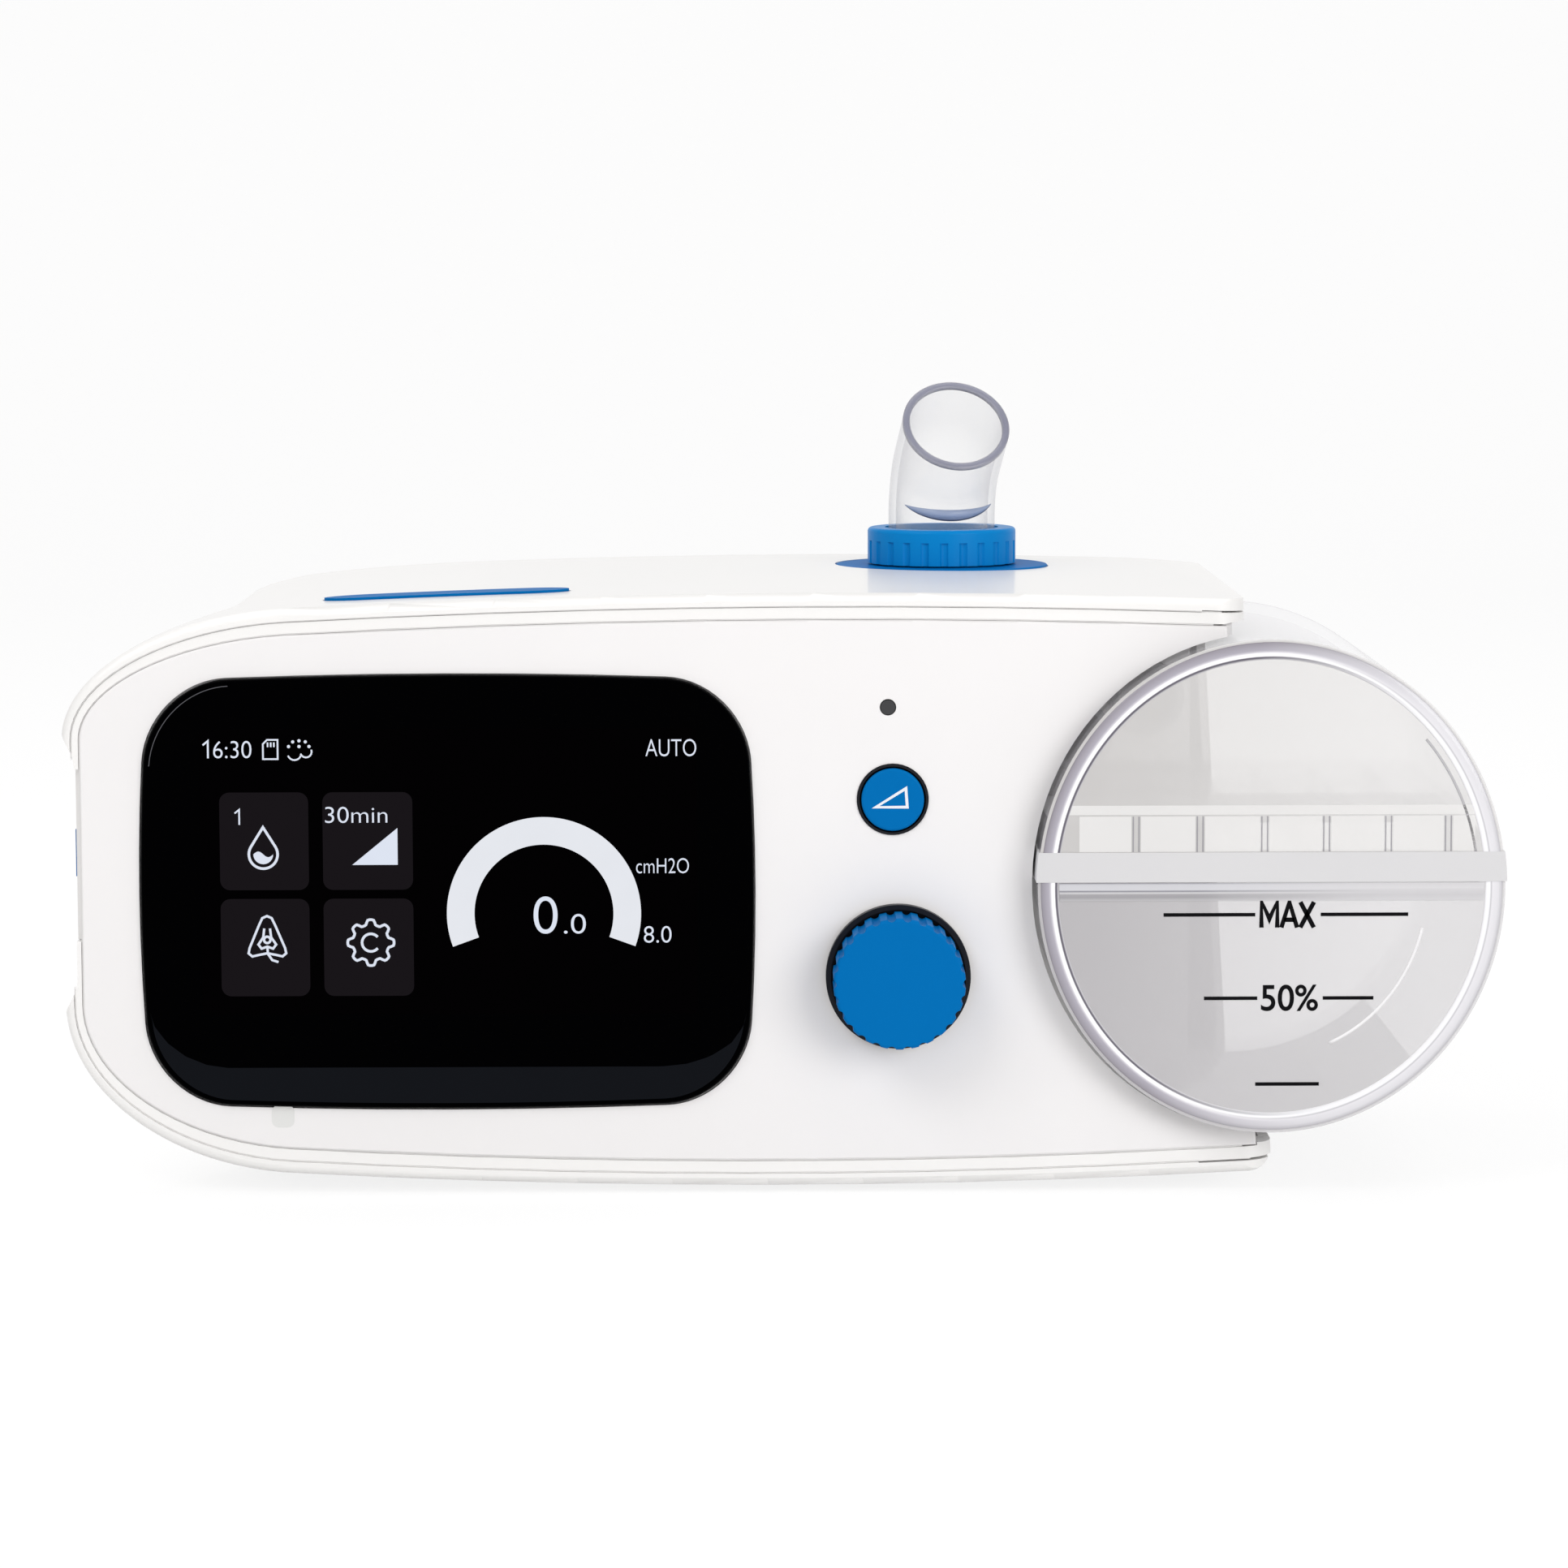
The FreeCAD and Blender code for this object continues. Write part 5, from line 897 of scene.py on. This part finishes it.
# painted highlight and painted shade across the rim, set in its tones
RIM = painted_light_tones("tank_rim", LEFT_RIM_PAINTED_LIGHT, RIGHT_RIM_PAINTED_LIGHT, alpha=1.0)
rim_profile = [(0.3, -0.3), (0.5, -0.02), (0.9, 0.12), (1.8, 0.2),
               (2.8, 0.2), (3.6, 0.1), (3.9, 0.02), (3.9, -0.1)]
hoop("tank_rim", rim_profile, on_tank_face, RIM, "tank", steps=160)

# Rim of the tub below the seal, its tones a painted highlight and painted shade lines
LEFT_LIP_PAINTED_LIGHT = ((0.0, (0.62, 0.61, 0.63)), (0.2, (0.42, 0.41, 0.43)), (0.36, (0.45, 0.44, 0.46)),
            (0.45, (0.78, 0.77, 0.79)), (0.55, (0.28, 0.28, 0.32)), (0.62, (0.75, 0.75, 0.79)),
            (0.9, (0.75, 0.75, 0.79)), (1.0, (0.45, 0.45, 0.5)))
RIGHT_LIP_PAINTED_LIGHT = ((0.0, (0.74, 0.73, 0.75)), (0.3, (0.68, 0.67, 0.69)), (0.6, (0.74, 0.73, 0.75)),
             (0.7, (0.80, 0.79, 0.81)), (1.0, (0.74, 0.73, 0.75)))
# painted highlight and painted shade lines across the tub's rim
LIP = painted_light_tones("tub_lip", LEFT_LIP_PAINTED_LIGHT, RIGHT_LIP_PAINTED_LIGHT, alpha=0.8, rise=(57.4, 60.8))
lip = [(-40.4, -2.6), (40.4, -2.6), (40.5, -0.2), (40.5, 0.8), (-40.5, 0.8), (-40.5, -0.2)]
face.plates("tub_lip", [lip], LIP, "clear_plastic", lift=0.12)

# Rib ends and shelf edge of the baffle and arcs of the walls, drawn on the tank's front wall
RIB_PLACES = (-25.9, -13.7, -1.4, 10.4, 22.2, 33.6)
RIB_LOW = 6.8
RIB_HIGH = 13.6
RIB_HALF = 0.55
WINDOW_LEFT = -37.6
WINDOW_RIGHT = 39.6
WINDOW_GAP = 0.9
RIB_END = tinged("rib_end", (0.36, 0.35, 0.38), (0.46, 0.45, 0.48), 0.3, alpha=0.75, scale=60.0)
WINDOW = tinged("rib_window", (0.89, 0.88, 0.87), (0.93, 0.92, 0.91), 0.3, alpha=0.8, scale=60.0)
LID_WALL = tinged("lid_wall", (0.50, 0.49, 0.52), (0.60, 0.59, 0.62), 0.3, alpha=0.6, scale=60.0)
ARC = moulded("tub_arc", (0.88, 0.87, 0.88), 0.3, grain=0.0)
rib_lines = [[(u + side, RIB_LOW), (u + side, RIB_HIGH)]
             for u in RIB_PLACES for side in (-RIB_HALF, RIB_HALF)]
face.strokes("rib_ends", rib_lines, RIB_END, "clear_plastic", width=0.24, lift=0.05)
spans = zip((WINDOW_LEFT,) + RIB_PLACES, RIB_PLACES + (WINDOW_RIGHT,))
windows = [[(left + WINDOW_GAP, RIB_LOW), (right - WINDOW_GAP, RIB_LOW),
            (right - WINDOW_GAP, RIB_HIGH), (left + WINDOW_GAP, RIB_HIGH)] for left, right in spans]
shelf = [(-39.6, 13.9), (39.2, 13.9), (38.8, 15.7), (-39.0, 15.7)]
face.plates("rib_windows", windows + [shelf], WINDOW, "clear_plastic", lift=0.04)
lid_wall = [(5.0, -0.1), (5.0, 0.04), (5.5, 0.04), (5.5, -0.1)]
hoop("lid_wall_line", lid_wall, on_tank_face, LID_WALL, "tank",
     steps=24, start=9.0, end=42.0)
tub_floor = [(14.6, -0.1), (14.6, 0.02), (15.2, 0.02), (15.2, -0.1)]
hoop("tub_floor_line", tub_floor, on_tank_face, ARC, "tank",
     steps=24, start=-68.0, end=-14.0)


# Lip of the outlet elbow, and its socket's crescent on the bend: painted refraction with a painted shade line
# under it

MOUTH = Vector((35.85, 16.30, 145.2))
MOUTH_AXIS = Vector((0.1216, -0.7676, 0.6293)).normalized()
MOUTH_SIDE = MOUTH_AXIS.cross(Vector((0.0, 0.0, 1.0))).normalized()
MOUTH_UP = MOUTH_SIDE.cross(MOUTH_AXIS)
ELBOW_RADIUS = 11.0
BEND_RADIUS = 16.0
BEND_START = Vector((33.4, 31.75, 124.9))
BEND_TURN = math.radians(9.0)
ARC_FRONT = math.radians(270.0)
ARC_SPREAD = math.radians(56.0)
ARC_LIFT = 0.15
ARC_CURL = 3.5                 # how far the ends of the crescent curl up
ARC_FULLNESS = 1.03
ARC_START = 215.0
ARC_END = 325.0


def on_mouth(angle, inset, proud):
    """A place on the elbow's mouth, set in from its outer edge and proud of its end."""
    reach = (MOUTH_SIDE * math.cos(angle) + MOUTH_UP * math.sin(angle)) * (ELBOW_RADIUS - inset)
    return (MOUTH + reach + MOUTH_AXIS * proud) * MM


def on_bend(angle, rise, proud):
    """A place on the bend of the elbow: angle round the tube, height above the bend's start."""
    radius = ELBOW_RADIUS + proud
    spread = BEND_RADIUS + radius * math.sin(angle)
    swing = math.asin(rise / spread)
    across = radius * math.cos(angle)
    place = Vector((across, spread * math.cos(swing) - BEND_RADIUS, spread * math.sin(swing)))
    return (BEND_START + Matrix.Rotation(BEND_TURN, 3, "Z") @ place) * MM


def socket_arc(low, high):
    """A crescent on the front of the bend, between two heights at its middle."""
    def spot(angle, share, proud):
        off = (angle - ARC_FRONT) / ARC_SPREAD
        rise = ARC_CURL * off * off + (low + (high - low) * share) * (ARC_FULLNESS - off * off)
        return on_bend(angle, ARC_LIFT + rise, proud)
    return spot


ELBOW_TINT = tinged("elbow_tint", (0.20, 0.205, 0.28), (0.31, 0.315, 0.39), 0.2, alpha=0.85, scale=80.0)
# painted refraction: the grey-blue crescent of the socket; painted shade: the dark line under it
SOCKET_PAINTED_REFRACTION = tinged("socket_painted_refraction", (0.28, 0.36, 0.56), (0.36, 0.43, 0.60), 0.3, alpha=0.8, scale=80.0)
SOCKET_PAINTED_SHADE = moulded("socket_painted_shade", (0.02, 0.04, 0.10), 0.4)
lip_profile = [(0.05, -0.9), (0.02, -0.2), (0.3, 0.04), (1.2, 0.04), (1.45, -0.2), (1.45, -0.9)]
hoop("elbow_lip", lip_profile, on_mouth, ELBOW_TINT, "elbow", steps=96)
arc_profile = [(0.0, -0.05), (0.0, 0.03), (1.0, 0.03), (1.0, -0.05)]
for name, low, high, material, slot in (("elbow_socket", 0.5, 2.5, SOCKET_PAINTED_REFRACTION, "clear_plastic"),
                                        ("elbow_socket_edge", 0.2, 0.5, SOCKET_PAINTED_SHADE, "black_plastic")):
    hoop(name, arc_profile, socket_arc(low, high), material, "elbow",
         steps=40, start=ARC_START, end=ARC_END)
